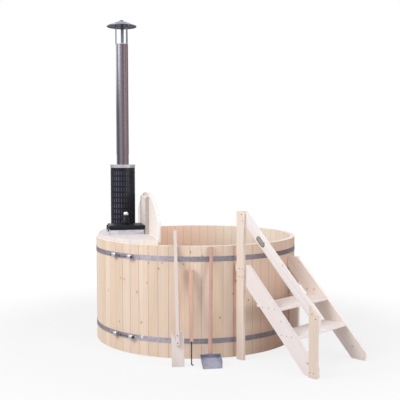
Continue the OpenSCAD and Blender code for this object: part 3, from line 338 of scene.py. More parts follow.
def makeWood(name, look, board, seed, knots=()):
    finish = Finish(name)
    along, across, through, place, edge, grain = board(finish)
    number = place + seed * 13.7
    lot = finish.split(finish.chance(number, "Color"))
    shift = finish.chance(number + 0.37) * 40

    def texture(wide, deep, run, detail=3.0, rough=0.5):
        spot = finish.vector(across * wide + shift, through * deep, along * run)
        return finish.noise(spot, 1.0, detail, rough)

    # where the pith of the log lay, so that the rings arch as on sawn boards
    drift = finish.noise(finish.vector(number, along * 1.3 + shift, 0.0), 1.0, 2.0)
    side = across - (lot[0] - 0.5) * growth.pithAcross
    deep = through - (growth.pithNear + lot[1] * growth.pithFar) + drift * growth.drift
    away = (side * side + deep ** 2 + 0.0001) ** 0.5

    # knots, some by chance and some where they show
    cell, squash = growth.cell, growth.squash
    spot = finish.vector(across / cell[0] + number * 0.31, along / cell[1] + shift, 0.0)
    middle = finish.node("TexVoronoi", {"voronoi_dimensions": "2D", "feature": "F1"},
        {"Vector": spot, "Scale": 1.0}, "Position")
    offset = finish.vectors("SUBTRACT", spot, middle, "Vector")
    gap = finish.vectors("LENGTH", finish.vectors("MULTIPLY", offset, (cell[0], cell[1] * squash, 0.0),
        "Vector"))
    luck = finish.split(finish.node("TexWhiteNoise", {"noise_dimensions": "2D"}, {"Vector": middle},
        "Color"))
    size = luck[1] * growth.knotMore + growth.knotLeast
    nearness = gap / size + (luck[0] < look.knotShare) * 40
    if knots:
        spread = finish.vector(across, along * squash, 0.0)
        for side, height, radius in knots:
            far = finish.vectors("DISTANCE", spread, (side, height * squash, 0.0))
            nearness = nearness.least(far / (radius * growth.shownKnot))
    knot = nearness.between(1.0, 0.0, 0.55, 1.0, True)
    halo = nearness.between(1.0, 0.0, 0.8, 3.2, True)

    rings = away + texture(*growth.swayRun) * growth.sway + halo * growth.swell
    rings = (rings / look.ring).fract()
    late = rings.between(0.0, 1.0, 0.45, 0.93, True) * rings.between(1.0, 0.0, 0.94, 1.0)
    fine, run = growth.fibreRun
    fibre = finish.noise(finish.vector(across * fine, through * fine, along * run + shift), 1.0, 2.0, 0.6)
    cloud, pores = texture(*growth.cloudRun, rough=0.55), texture(*growth.poreRun, rough=0.6)
    band = texture(*growth.bandRun, 2.0)

    vary = look.vary
    blend = lot[2] * vary + (cloud - 0.5) * growth.clouds + 0.5 * (1 - vary)
    colour = finish.mix(blend.between(0, 1, 0.1, 0.9), tone(look.pale), tone(look.warm))
    colour = finish.mix((lot[0] > 0.55) * lot[1] * vary, colour, tone(look.blush))
    marks = late * look.figure + (fibre - 0.5) * growth.fibres
    marks = marks + (pores - 0.5) * growth.pores + (band - 0.5) * growth.bands
    colour = finish.mix(marks, colour, tone(look.late))
    if "streak" in look:
        # one stave with resin in its grain
        streak = look.streak
        here = abs(place - streak.stave) < 0.5
        stain = band.between(streak.share * 0.5, streak.share, 0.35, 0.6, True)
        colour = finish.mix(here * stain, colour, tone(streak.stain))
    if "aged" in look:
        # browner staves on the side away from the stove, partly the wood's own tone and partly painted
        # shade, and darker low down with a painted shadow of the steps
        aged = look.aged
        side = across.between(0.0, aged.share, *aged.span, True) * (across < aged.until)
        colour = finish.mix(side, colour, tone(aged.tone))
        low = along.between(aged.lowShare, 0.0, *aged.lowSpan, True)
        colour = finish.mix(side * low, colour, tone(aged.low))
    if "inner" in look:
        # the inside is fresher, paler wood; it is painted lighter towards the right, where the lamps
        # reach, and warmer beside the stove with painted shade and a painted warm reflection
        inner = look.inner
        side = across.between(0.0, 1.0, 0.9, 1.9, True)
        freshLitAndShaded = finish.mix(side, tone(inner.right), tone(inner.left))
        colour = finish.mix((through < inner.at) * inner.share, colour, freshLitAndShaded)
    colour = finish.dim(colour, lot[1].between(1 - growth.lots * vary, 1.0))

    # sawn ends show the rings from their end
    normal = finish.node("TexCoord", out="Normal")
    sawn = abs(finish.vectors("DOT_PRODUCT", normal, grain)).between(0.0, 1.0, 0.7, 0.85)
    ends = finish.mix(late * 0.4 + (fibre - 0.5) * 0.2, tone(look.end), tone(look.late))
    colour = finish.mix(sawn, colour, ends)
    seam = edge.between(look.joint, 0.0, *growth.joint, True)
    if "within" in look:
        seam = seam * (abs(across) < look.within)
    colour = finish.mix(seam, colour, tone(look.late, growth.jointTone))
    colour = finish.mix(halo * growth.halo, colour, tone(look.late))
    colour = finish.mix(knot * growth.knot, colour, tone(look.knot))
    finish.put({"Base Color": colour, "Roughness": (fibre * 0.18 + growth.rough) - knot * 0.12,
        "Specular IOR Level": 0.3})
    finish.bump(fibre * 0.35 + late * 0.5 - knot * 0.6, growth.bump, 0.6)
    return finish


def dress(finish, *names):
    for name in names:
        mesh = nodes[name].data
        mesh.materials.clear()
        mesh.materials.append(finish.material)


def easeEdges(name, width, segments=2, angle=35):
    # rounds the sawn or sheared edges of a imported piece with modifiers
    piece = nodes[name]
    weld = piece.modifiers.new("weld", "WELD")
    weld.merge_threshold = 0.00002
    flat = piece.modifiers.new("flat", "DECIMATE")
    flat.decimate_type, flat.angle_limit = "DISSOLVE", radians(0.4)
    bevel = piece.modifiers.new("bevel", "BEVEL")
    bevel.width, bevel.segments = width, segments
    bevel.limit_method, bevel.angle_limit = "ANGLE", radians(angle)
    bevel.harden_normals = True
    bevel.use_clamp_overlap = True


def smoothRound(name, angle=30):
    mesh = nodes[name].data
    mesh.polygons.foreach_set("use_smooth", [True] * len(mesh.polygons))
    mesh.set_sharp_from_angle(angle=radians(angle))


def halvesOf(name):
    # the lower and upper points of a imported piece
    points = [v.co for v in nodes[name].data.vertices]
    middle = sum(p.z for p in points) / len(points)
    return [p for p in points if p.z < middle], [p for p in points if p.z >= middle]


def middlesOf(name):
    return [sum(half, Vector()) / len(half) for half in halvesOf(name)]


def leanOf(name):
    lower, upper = middlesOf(name)
    return (upper - lower).normalized()


# Wood, run of the boards, seed of the draws and width of the eased edge, for each piece
print("making the woods")
benchTurn, benchAngle = radians(11), radians(46)
boards = {
    "staves": ("stave", staveBoard(), 1, 0.0),
    "floor_boards": ("inside", straightBoard(backward, rightward, 0.12881, -0.96579), 2, 0.0),
    "floor_joists": ("inside", straightBoard(rightward, backward, 0.3, -0.75), 3, 0.002),
    "cover_boards": ("fence", straightBoard(baySide, bayOut, 0.11905, 0.4998), 4, 0.0012),
    "cover_cleats": ("fence", straightBoard(bayOut, baySide, 0.4), 5, 0.002),
    "fence_boards": ("screen", straightBoard(upward, baySide, 0.089, -0.8005), 6, 0.003),
    "fence_uprights": ("screen", straightBoard(upward, baySide, 0.2), 7, 0.0),
    "fence_rails": ("inside", straightBoard(baySide, upward, 0.3), 8, 0.002),
    "bench_seats": ("inside", ringBoard(benchTurn, benchAngle, 0.8774, 0.117), 9, 0.003),
    "bench_bearers": ("inside", ringBoard(benchTurn, benchAngle, 1.0, 2.0, True), 10, 0.002),
    "bench_legs": ("inside", straightBoard(upward, rightward, 0.11), 11, 0.002),
}
slope = radians(46.1)
downSlope = (stepOut * cos(slope) - upward * sin(slope)).normalized()
acrossSlope = (stepOut * sin(slope) + upward * cos(slope)).normalized()
for seed, name, wood, along, across, ease in (
        (20, "near_stringer", "steps", downSlope, acrossSlope, 0.002),
        (21, "far_stringer", "far", downSlope, acrossSlope, 0.002),
        (22, "handrail", "steps", downSlope, acrossSlope, 0.002),
        (30, "tall_post", "post", upward, stepOut, 0.002),
        (31, "short_post", "post", upward, stepOut, 0.002),
        (32, "rear_leg", "post", upward, stepOut, 0.002),
        (40, "upper_tread", "steps", stepSide, stepOut, 0.003),
        (41, "lower_tread", "steps", stepSide, stepOut, 0.003),
        (50, "paddle_blade", "paddle", leanOf("paddle_shaft"), rightward, 0.0025),
        (51, "paddle_shaft", "paddle", leanOf("paddle_shaft"), rightward, 0.0025),
        (52, "poker_handle", "poker", leanOf("poker_handle"), rightward, 0.0),
        (53, "shovel_handle", "shovel", leanOf("shovel_handle"), rightward, 0.0)):
    boards[name] = (wood, straightBoard(along, across), seed, ease)

wooden = {}
for name, (wood, board, seed, ease) in boards.items():
    wooden[name] = makeWood(name.replace("_", " ") + " wood", woods[wood], board, seed,
        boardKnots.get(name, ()))
    dress(wooden[name], name)
    if ease:
        easeEdges(name, ease)


def turnRound(finish, axis):
    # 0 at the side away from +X, 0.25 at the near side and 0.5 at +X
    x, y, z = finish.split(finish.place())
    return (y - axis.y).bearing(x - axis.x) / (2 * pi) + 0.5


def metalLook(light, deep, metallic, rough, spangle, axis=None, shades=()):
    return Look(light=light, deep=deep, metallic=metallic, rough=rough, spangle=spangle, axis=axis,
        shades=shades)


def makeMetal(name, look):
    finish = Finish(name)
    place = finish.place()
    flake = finish.split(finish.node("TexVoronoi", {"feature": "F1"},
        {"Vector": place, "Scale": look.spangle}, "Color"))[0]
    cloud = finish.noise(place, 6.0, 4.0, 0.6)
    scuff = finish.noise(place, 90.0, 3.0, 0.7)
    share = (flake * 0.35 + cloud * 0.65).between(0, 1, 0.25, 0.75)
    colour = finish.mix(share, tone(look.deep), tone(look.light))
    if look.shades:
        # darker where bent sheet turns away from the lamps
        shade = finish.ramp(look.shades, turnRound(finish, look.axis))
        colour = finish.mix(1.0, colour, shade, "MULTIPLY")
    finish.put({"Base Color": colour, "Metallic": look.metallic,
        "Roughness": scuff * 0.18 + (look.rough - 0.09)})
    finish.bump(flake * 0.3 + scuff * 0.7, 0.0003, 0.35)
    return finish


# Sheet metals: light and deep tones, metallic share, roughness and fineness of the spangle
print("making the metals")
metals = {
    "hoop": metalLook("c6bfca", "a29ba6", 0.4, 0.42, 70, Vector(), (
        (0.0, "8c8c8c"), (0.03, "a8a8a8"), (0.06, "bfbfbf"), (0.11, "dddddd"), (0.145, "f0f0f0"),
        (0.18, "ffffff"), (0.22, "f8f8f8"), (0.25, "d2d2d2"), (0.31, "cacacc"), (0.35, "aca3a0"),
        (0.39, "a0948f"), (0.44, "b4acaa"), (0.5, "a8a8a8"), (0.75, "c8c8c8"), (1.0, "8c8c8c"))),
    "coupling": metalLook("d6d4da", "b3b0ba", 0.65, 0.26, 160),
    "bolt": metalLook("8a8791", "5f5c66", 0.8, 0.3, 160),
    "nut": metalLook("4f4c56", "35323b", 0.7, 0.35, 160),
    "ring": metalLook("dad7df", "bebcc7", 0.6, 0.25, 120),
    "cap": metalLook("8b8d9c", "686977", 0.6, 0.3, 60),
    "stove": metalLook("e5e7ec", "c2c2cc", 0.45, 0.34, 30),
    "pan": metalLook("a09faf", "89899b", 0.35, 0.5, 90),
    "screw": metalLook("80766a", "57504a", 0.9, 0.35, 300),
    "drain": metalLook("c9c2b2", "9a927f", 0.95, 0.3, 200),
    "soot": metalLook("3c3936", "211f1e", 0.4, 0.7, 60),
}
metal = {key: makeMetal(key + " metal", look) for key, look in metals.items()}


def makePipe(name, look, axis):
    # bright pipe whose rolled sheet shows long streaks; the bands of colour round it are painted
    # reflections and painted highlights, partly temper tints down one side, and its lower part is painted
    # in shade on one side
    finish = Finish(name)
    z = finish.split(finish.place())[2]
    turn = turnRound(finish, axis)
    streak = finish.noise(finish.vector(turn * 46, 0.0, z * 0.6), 1.0, 3.0, 0.6)
    cloud = finish.noise(finish.vector(turn * 7, 3.0, z * 2.0), 1.0, 3.0, 0.5)
    bands = finish.ramp(look.bands, turn + (cloud - 0.5) * look.wander)
    colour = finish.mix((streak - 0.35) * 0.5, bands, tone(look.pale))
    lowerShade = z.between(1 - look.foot, 0.0, *look.fade, True)
    colour = finish.dim(colour, 1 - lowerShade * turn.between(1.0, 0.0, *look.fadeRound, True))
    finish.put({"Base Color": colour, "Metallic": look.metallic, "Roughness": streak * 0.16 + look.rough})
    finish.bump(streak * 0.4 + cloud, 0.0008, 0.3)
    return finish


# bands: painted reflections and highlights round the pipe, partly temper tints; foot, fade and fadeRound:
# painted shade low down on one side
pipe = Look(pale="b6b6bf", metallic=0.5, rough=0.26, wander=0.003, foot=0.35, fade=(2.2, 2.8),
    fadeRound=(0.17, 0.24), bands=((0.0, "ababb5"), (0.06, "f1f2f7"), (0.13, "605e66"), (0.19, "7f7e84"),
    (0.23, "75747b"), (0.275, "6a4e5d"), (0.30, "413544"), (0.335, "3d3441"), (0.35, "64504f"),
    (0.365, "3e3843"), (0.385, "a27d75"), (0.41, "875045"), (0.45, "190f0e"), (0.5, "5f5657"),
    (0.6, "8b8b93"), (0.75, "9c9ca4"), (0.88, "77777f"), (1.0, "84848c")))
flueAxis = inBay(0.7148, -0.225, 0.0)
onFlue = moved(flueAxis)
pipeFinish = makePipe("flue steel", pipe, flueAxis)


def makeBlack(name, dark, sheen, rough):
    finish = Finish(name)
    place = finish.place()
    cloud = finish.noise(place, 14.0, 4.0, 0.6)
    grit = finish.noise(place, 700.0, 2.0, 0.6)
    dustAndSheen = finish.noise(place, 3.5, 3.0, 0.5)
    # the lighter bluish tone is a painted sheen, laid in random patches together with the dust
    colour = finish.mix(cloud * 0.5 + dustAndSheen * 0.5, tone(dark), tone(sheen))
    finish.put({"Base Color": colour, "Metallic": 0.0, "Roughness": cloud * 0.16 + rough,
        "Specular IOR Level": 0.28})
    finish.bump(grit, 0.0002, 0.4)
    return finish


def makeMineral(name, scale, detail, dark, pale, rough, depth):
    finish = Finish(name, Roughness=rough)
    speck = finish.noise(finish.place(), scale, detail, 0.7)
    finish.put({"Base Color": finish.mix(speck, tone(dark), tone(pale))})
    finish.bump(speck, depth)
    return finish


blackPaint = makeBlack("heatproof black", "0c0c11", "1d1d28", 0.3)
guardBlack = makeBlack("guard black", "07070b", "15151f", 0.34)
ropeFinish = makeMineral("seal rope", 400.0, 3.0, "5d5a52", "8f8b80", 0.92, 0.0008)
mineralBoard = makeMineral("mineral board", 160.0, 4.0, "8c887c", "b9b4a4", 0.9, 0.001)
chrome = Finish("ball chrome", Metallic=1.0)
smear = chrome.noise(chrome.place(), 30.0, 3.0)
chrome.put({"Base Color": chrome.mix(smear, tone("d9d9de"), tone("f2f2f4")),
    "Roughness": smear * 0.08 + 0.04})
leverFinish = Finish("lever red", Roughness=0.4)
chips = leverFinish.noise(leverFinish.place(), 120.0, 4.0, 0.7)
worn = chips.between(0, 1, 0.62, 0.7)
leverFinish.put({"Base Color": leverFinish.mix(worn, tone("a8332a"), tone("6a625c")),
    "Metallic": worn * 0.8})

for finish, names in (
        (metal["hoop"], ("top_hoop", "bottom_hoop")),
        (metal["stove"], ("lid_hinge_brackets", "lid_hinge_pins")),
        (pipeFinish, ("lower_flue", "upper_flue", "flue_rivets", "cap_sleeve")),
        (metal["cap"], ("rain_cap",)),
        (metal["ring"], ("guard_ring",)),
        (blackPaint, ("lid_hinge_ears",)),
        (guardBlack, ("guard_tube",)),
        (chrome, ("lid_handle_ball",)),
        (metal["drain"], ("drain_strainer", "drain_elbow", "drain_valve_body", "drain_valve_ball")),
        (leverFinish, ("drain_valve_lever",)),
        (wooden["poker_handle"], ("poker_handle",)),
        (wooden["shovel_handle"], ("shovel_handle",))):
    dress(finish, *names)
    for name in names:
        smoothRound(name)
dress(metal["stove"], "stove_body")
dress(metal["soot"], "stove_feet", "stove_baffle", "stove_grate")
dress(metal["cap"], "cap_straps")
dress(mineralBoard, "lid_insulation")
dress(metal["drain"], "drain_nut")
print("packed pieces dressed")


# Pieces made in mesh code
class Form:
    # points and faces of a piece while it is made
    def __init__(self):
        self.points, self.faces = [], []

    def add(self, points, faces, place=Matrix()):
        first = len(self.points)
        self.points += [place @ Vector(p) for p in points]
        self.faces += [[first + i for i in face] for face in faces]
        return self

    def skin(self, loops, place=Matrix(), ends=(True, True), around=False):
        # quads between loops of as many points each, with a face at each end
        count = len(loops[0])
        points = [p for loop in loops for p in loop]
        faces = []
        for i in range(len(loops) if around else len(loops) - 1):
            low, high = i * count, (i + 1) % len(loops) * count
            faces += [[low + j, low + (j + 1) % count, high + (j + 1) % count, high + j]
                for j in range(count)]
        if not around:
            if ends[0]:
                faces.append(list(range(count))[::-1])
            if ends[1]:
                faces.append([(len(loops) - 1) * count + j for j in range(count)])
        return self.add(points, faces, place)

    def stamp(self, other, place):
        return self.add(other.points, other.faces, place)

    def make(self, name, finish, body, slot=None, instead=(), angle=35):
        mesh = bpy.data.meshes.new(name)
        mesh.from_pydata(self.points, [], self.faces)
        shaped = bmesh.new()
        shaped.from_mesh(mesh)
        bmesh.ops.recalc_face_normals(shaped, faces=shaped.faces)
        shaped.to_mesh(mesh)
        shaped.free()
        mesh.materials.append(finish.material)
        mesh.polygons.foreach_set("use_smooth", [True] * len(mesh.polygons))
        mesh.set_sharp_from_angle(angle=radians(angle))
        made = bpy.data.objects.new(name, mesh)
        bpy.context.scene.collection.objects.link(made)
        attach(made, body)
        if instead:
            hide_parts(*instead)


def circle(steps):
    # cosine and sine of each step round
    return [(cos(a), sin(a)) for a in (2 * pi * i / steps for i in range(steps))]


def ring(radius, height, steps=32):
    return [(radius * x, radius * y, height) for x, y in circle(steps)]


def turned(profile, steps=32):
    # loops of a turned shape, by its radii and heights
    return [ring(radius, height, steps) for radius, height in profile]


def beadLoops(radius, height, bead, steps):
    # a round bead that runs round an axis
    return turned([(radius + bead * x, height + bead * y) for x, y in circle(10)], steps)


def squared(value, power):
    # draws a round outline out towards a square one
    return copysign(abs(value) ** power, value)


def rounded(halfX, halfY, radius, height, steps=6):
    # outline of a rectangle with round corners
    points = []
    for corner, (x, y) in enumerate(((1, 1), (-1, 1), (-1, -1), (1, -1))):
        for i in range(steps + 1):
            angle = (corner + i / steps) * pi / 2
            points.append((x * (halfX - radius) + radius * cos(angle),
                y * (halfY - radius) + radius * sin(angle), height))
    return points


def aimed(point, way, turn=0.0):
    # a place whose Z points along way
    return moved(point) @ Vector(way).to_track_quat("Z", "Y").to_matrix().to_4x4() \
        @ spun(turn, "Z")


def alongPath(points, radius, sides=12):
    # loops of a tube that follows points, with a narrower tip where radius holds two sizes
    loops, side = [], None
    for i, point in enumerate(points):
        ahead = (points[min(i + 1, len(points) - 1)] - points[max(i - 1, 0)]).normalized()
        side = ahead.orthogonal().normalized() if side is None else \
            (side - ahead * side.dot(ahead)).normalized()
        other = ahead.cross(side)
        wide = radius[min(i, 1)]
        loops.append([point + wide * (x * side + y * other) for x, y in circle(sides)])
    return loops


def bayPlace(x, y, z):
    return moved(inBay(x, y, z)) @ spun(radians(bayBearing), "Z")


# Countersunk screw head with a cross recess, its top at height zero
screw = Look(radius=0.0046, proud=0.0004, recess=0.0013, arm=0.62, slot=0.2, sides=20, rimShare=0.4,
    crown=0.9, floor=0.8, skirt=0.001)


def screwHead(look):
    head = Form()
    r, top = look.radius, look.proud
    rim = ring(r, top * look.rimShare, look.sides)
    crown = [(x * look.crown, y * look.crown, top) for x, y, z in rim]
    arm, slot = look.arm * r, look.slot * r
    cross = [(arm, -slot), (arm, slot), (slot, slot), (slot, arm), (-slot, arm), (-slot, slot),
        (-arm, slot), (-arm, -slot), (-slot, -slot), (-slot, -arm), (slot, -arm), (slot, -slot)]
    mouth = [(x, y, top) for x, y in cross]
    flat = bmesh.new()
    edges = []
    for loop in (crown, mouth):
        corners = [flat.verts.new(point) for point in loop]
        edges += [flat.edges.new((corner, corners[(i + 1) % len(corners)]))
            for i, corner in enumerate(corners)]
    bmesh.ops.triangle_fill(flat, edges=edges, use_beauty=True)
    flat.verts.index_update()
    head.add([v.co.copy() for v in flat.verts], [[v.index for v in f.verts] for f in flat.faces])
    flat.free()
    head.skin([rim, crown], ends=(False, False))
    head.skin([rim, [(x, y, -look.skirt) for x, y, z in rim]], ends=(False, False))
    sunk = [(x * look.floor, y * look.floor, top - look.recess) for x, y in cross]
    return head.skin([mouth, sunk], ends=(False, True))


screwForm = screwHead(screw)
draw = random.Random(7)


def driveScrews(name, body, slot, places, instead=()):
    heads = Form()
    for point, way in places:
        heads.stamp(screwForm, aimed(point, way, draw.uniform(0, pi / 2)))
    heads.make(name, metal["screw"], body, slot, instead)


print("making screws")
steps = Look(near=-0.394, wood=0.026, half=0.368, tallPost=0.9555, shortPost=1.740, post=0.081, leg=0.967,
    legWide=0.093, postTop=1.320, boardTop=0.848, railRise=tan(radians(45.8)), shares=(0.38, 0.68, 0.82),
    legShares=(0.38, 0.76), topDrops=(0.028, 0.082), boardDrops=(0.034, 0.105), legDrops=(0.034, 0.068),
    railDrop=0.040, footUp=0.042, treads=((0.502, (1.235, 1.300, 1.365)), (0.293, (1.439, 1.495, 1.547))))


def postScrews(look):
    tall, short, wide, rise = look.tallPost, look.shortPost, look.post, look.railRise
    railLine = look.postTop + (tall + wide) * rise
    places = [(tall + share * wide, look.postTop - drop)
        for share, drop in zip(look.shares[1:], look.topDrops)]
    places += [(tall + share * wide, look.boardTop - drop)
        for share in look.shares[::2] for drop in look.boardDrops]
    for share in look.shares[::2]:
        x = short + share * wide
        places += [(x, railLine - x * rise - look.railDrop), (short + (1 - share) * wide, look.footUp)]
    return places


treadScrews = [(x, z) for z, row in steps.treads for x in row]
legScrews = [(steps.leg + share * steps.legWide, steps.boardTop - drop)
    for share in steps.legShares for drop in steps.legDrops]
stepScrews = []
for screws, y, way in ((postScrews(steps), steps.near, -stepSide), (treadScrews, -steps.half, -stepSide),
        (treadScrews, steps.half, stepSide), (legScrews, steps.half + steps.wood, stepSide)):
    stepScrews += [(inSteps(x, y, z), way) for x, z in screws]
driveScrews("step_screw_heads", "tub", "screw", stepScrews, ["step_screws"])

bay = Look(chord=0.4998, half=0.8005, count=18, pitch=0.089, archR=1.5, archZ=-0.053, coverTop=1.0455,
    uprights=(-0.16, 0.16), uprightOut=0.5378, uprightHalf=0.04, uprightGap=0.006, lowRow=1.085,
    archDrop=0.045, aside=0.02, uprightRows=(1.075, 1.225, 1.375), cleats=(0.2115, -0.3815), boards=4,
    boardW=0.11905, shares=(0.25, 0.75), screwR=0.945)


def archAt(y):
    return bay.archZ + sqrt(bay.archR ** 2 - y * y)


bayScrews = []
for i in range(bay.count):
    y = (i + 0.5) * bay.pitch - bay.half
    if min(abs(y - u) for u in bay.uprights) >= bay.uprightHalf + bay.uprightGap:
        bayScrews += [(inBay(bay.chord, y, z), bayOut) for z in (bay.lowRow, archAt(y) - bay.archDrop)]
for y in bay.uprights:
    bayScrews += [(inBay(bay.uprightOut, y + side * bay.aside, z), bayOut)
        for side in (-1, 1) for z in bay.uprightRows]
for i in range(bay.boards):
    for share in bay.shares:
        x = bay.chord + (i + share) * bay.boardW
        bayScrews += [(inBay(x, y, bay.coverTop), upward) for y in bay.cleats if hypot(x, y) < bay.screwR]
driveScrews("bay_screw_heads", "tub", "screw", bayScrews)

bench = Look(turn=11.0, angle=46.0, outer=0.8774, board=0.110, gap=0.007, top=0.480, segments=5, rows=3,
    shares=(0.28, 0.72), inset=0.014)
seatScrews = []
for i in range(bench.segments):
    ahead, aside = outAndAside(bench.turn + (i - (bench.segments - 1) / 2) * bench.angle)
    for row in range(bench.rows):
        for share in bench.shares:
            reach = bench.outer - row * (bench.board + bench.gap) - share * bench.board
            half = reach * tan(radians(bench.angle / 2)) - bench.inset
            seatScrews += [(ahead * reach + aside * side * half + upward * bench.top, upward)
                for side in (-1, 1)]
driveScrews("bench_screw_heads", "tub", "bench", seatScrews)


def headsOf(name):
    # the front of each screw head of a packed pair
    found = []
    for half in halvesOf(name):
        low, high = (Vector([f(p[k] for p in half) for k in range(3)]) for f in (min, max))
        found.append(Vector(((low.x + high.x) / 2, low.y, (low.z + high.z) / 2)))
    return found


paddleFront = leanOf("paddle_shaft").cross(rightward).normalized()
paddleFront = paddleFront if paddleFront.y < 0 else -paddleFront
driveScrews("paddle_screw_heads", "paddle", "screw", [(p, paddleFront) for p in headsOf("paddle_screws")],
    ["paddle_screws"])

print("making the fence's uprights")
upright = Look(round=0.024, steps=8, under=0.001, shares=(-1, -0.5, 0, 0.5, 1))
points = [v.co for v in nodes["fence_uprights"].data.vertices]
innerFace, outerFace = (f(p.dot(bayOut) for p in points) for f in (min, max))
foot, head = (f(p.z for p in points) for f in (min, max))
posts = Form()
for middle in bay.uprights:
    loops = []
    for share in upright.shares:
        y = middle + share * bay.uprightHalf
        top = min(head, archAt(y) - upright.under)
        loop = [(innerFace, foot), (outerFace, foot)]
        for i in range(upright.steps + 1):
            angle = pi / 2 * i / upright.steps
            loop.append((outerFace - upright.round * (1 - cos(angle)),
                top - upright.round * (1 - sin(angle))))
        loops.append([inBay(x, y, z) for x, z in loop + [(innerFace, top)]])
    posts.skin(loops)
posts.make("fence_round_posts", wooden["fence_uprights"], "tub", "cover", ["fence_uprights"])

print("making hoop couplings")
coupling = Look(hoops=((0.8965, -131.6), (0.163, -131.0)), boltAt=1.0201, hoopOut=1.0021, lugAt=0.104,
    lugLen=0.044, lugTall=0.043, lugOut=0.019, lugIn=0.0022, swell=0.45, waist=0.78, foot=0.062,
    footBack=0.2, footTall=0.0195, footDeep=(0.0003, 0.0026), footEase=0.0012, studs=(0.024, 0.038),
    studIn=0.0024, boltR=0.006, pitch=0.00175, groove=0.0007, sides=10, nutR=0.0111, nutT=0.0096,
    nutEase=0.0012, nutFace=0.97, washer=0.0012, washerR=1.12, lockTurn=0.4, middleNut=-0.032,
    middleTurn=0.7, spans=12, rounds=28, squareness=(0.55, 0.7), footSpans=8, footTaper=(0.6, 0.9),
    boltEnds=(2, 0.6))
stud = [(0.0052, 0.0), (0.0048, 0.0014), (0.003, 0.0024), (0.0008, 0.0028)]


def hexNut(look, steps=36, rim=28):
    r, half, ease, bore = look.nutR, look.nutT / 2, look.nutEase, look.boltR
    flat = r * cos(pi / 6)
    turns = [2 * pi * i / steps for i in range(steps)]
    hexagon = [flat / cos(turn % (pi / 3) - pi / 6) for turn in turns]
    inside, face = [bore] * steps, [flat * look.nutFace] * steps
    loops = [[(w * x, w * y, z) for w, (x, y) in zip(wide, circle(steps))]
        for z, wide in ((-half, inside), (-half, face), (ease - half, hexagon), (half - ease, hexagon),
        (half, face), (half, inside))]
    out, top = r * look.washerR, half + look.washer
    washer = turned([(bore, half), (out, half), (out, top), (bore, top)], rim)
    return Form().skin(loops, around=True), Form().skin(washer, around=True)


def onHoop(y, lift, look=coupling):
    # how far out the hoop lies beside a coupling's middle
    return sqrt((look.hoopOut + lift) ** 2 - y * y)


def saddleLoops(look, middle):
    # a cast saddle, swelling to its middle
    loops, (outward, upright) = [], look.squareness
    for i in range(look.spans + 1):
        share = 2 * i / look.spans - 1
        swell = sqrt(1 - look.swell * share ** 2)
        y = middle + share * look.lugLen / 2
        inside = onHoop(y, look.lugIn)
        out = look.boltAt + look.lugOut * swell
        tall = look.lugTall / 2 * (look.waist + (1 - look.waist) * swell)
        x, deep = (inside + out) / 2, (out - inside) / 2
        loops.append([(x + deep * squared(c, outward), y, tall * squared(s, upright))
            for c, s in circle(look.rounds)])
    return loops


def footLoops(look, middle, side):
    # the saddle's foot, rolled to the hoop
    loops, ease, (start, taper) = [], look.footEase, look.footTaper
    for i in range(look.footSpans + 1):
        share = i / look.footSpans
        y = middle + side * (share * look.foot - look.foot * look.footBack)
        low, high = (onHoop(y, lift) for lift in look.footDeep)
        tall = look.footTall * (1 - max(0.0, share - start) * taper)
        loops.append([(low, y, -tall), (high, y, -tall + ease), (high, y, tall - ease), (low, y, tall)])
    return loops


lugs, bolts, nuts = Form(), Form(), Form()
nut, washer = hexNut(coupling)
reach, thick = coupling.lugAt + coupling.lugLen / 2, coupling.nutT
for height, bearing in coupling.hoops:
    place = moved((0, 0, height)) @ spun(radians(bearing), "Z")
    line = place @ moved((coupling.boltAt, 0, 0)) @ spun(-pi / 2, "X")
    for side in (-1, 1):
        middle = side * coupling.lugAt
        lugs.skin(saddleLoops(coupling, middle), place)
        lugs.skin(footLoops(coupling, middle, side), place)
        for step in coupling.studs:
            y = middle + side * step
            way = place.to_3x3() @ Vector((cos(y), y, 0))
            lugs.skin(turned(stud, 16), aimed(place @ Vector((onHoop(y, coupling.studIn), y, 0)), way))
    # rolled thread, one ridge a turn
    start, end = -reach - coupling.boltEnds[0] * thick, reach + thick * coupling.boltEnds[1]
    count = int((end - start) / coupling.pitch)
    bolts.skin([ring(coupling.boltR - (coupling.groove if i % 2 else 0.0), start + i * coupling.pitch / 2,
        coupling.sides) for i in range(2 * count)], line)
    seat = reach + thick / 2 + coupling.washer
    for z, flip in ((seat, pi), (-seat, 0.0)):
        place = line @ moved((0, 0, z)) @ spun(flip, "X")
        nuts.stamp(nut, place).stamp(washer, place)
    for z, turn in ((-seat - thick, coupling.lockTurn), (coupling.middleNut, coupling.middleTurn)):
        nuts.stamp(nut, line @ moved((0, 0, z)) @ spun(turn, "Z"))
lugs.make("hoop_saddles", metal["coupling"], "tub", "hoop", ["hoop_lugs"])
bolts.make("hoop_threads", metal["bolt"], "tub", "hoop", ["hoop_bolts"], 50)
nuts.make("hoop_nuts_and_washers", metal["nut"], "tub", "hoop", ["hoop_nuts"])

print("making lid and chimney pieces")
lid = Look(x=0.712795, y=0.048, halfX=0.173, halfY=0.145, low=1.089, step=1.104, top=1.133, inset=0.007,
    corner=0.006, innerCorner=0.002, wall=0.004, fold=0.001, slope=0.0015, rim=((0.0, 0.004),
    (0.0012, 0.0014), (0.0045, 0.0), (0.012, 0.0), (0.014, 0.0012), (0.019, 0.0012), (0.021, 0.0)))


def lidLoops(look):
    # from under the top down inside, then out and up over the two tiers and the pressed rim
    low, step, lap, fold = look.low, look.step, look.inset, look.fold
    wall = lap + look.wall
    outside = [(lap + fold, low), (lap, low + fold), (lap, step - look.slope), (fold, step),
        (0.0, step + fold)] + [(inset, look.top - drop) for inset, drop in look.rim]
    profile = [(wall, look.top - look.wall, look.innerCorner), (wall, low, look.innerCorner)]
    profile += [(inset, height, look.corner) for inset, height in outside]
    return [rounded(look.halfX - inset, look.halfY - inset, radius, height)
        for inset, height, radius in profile]


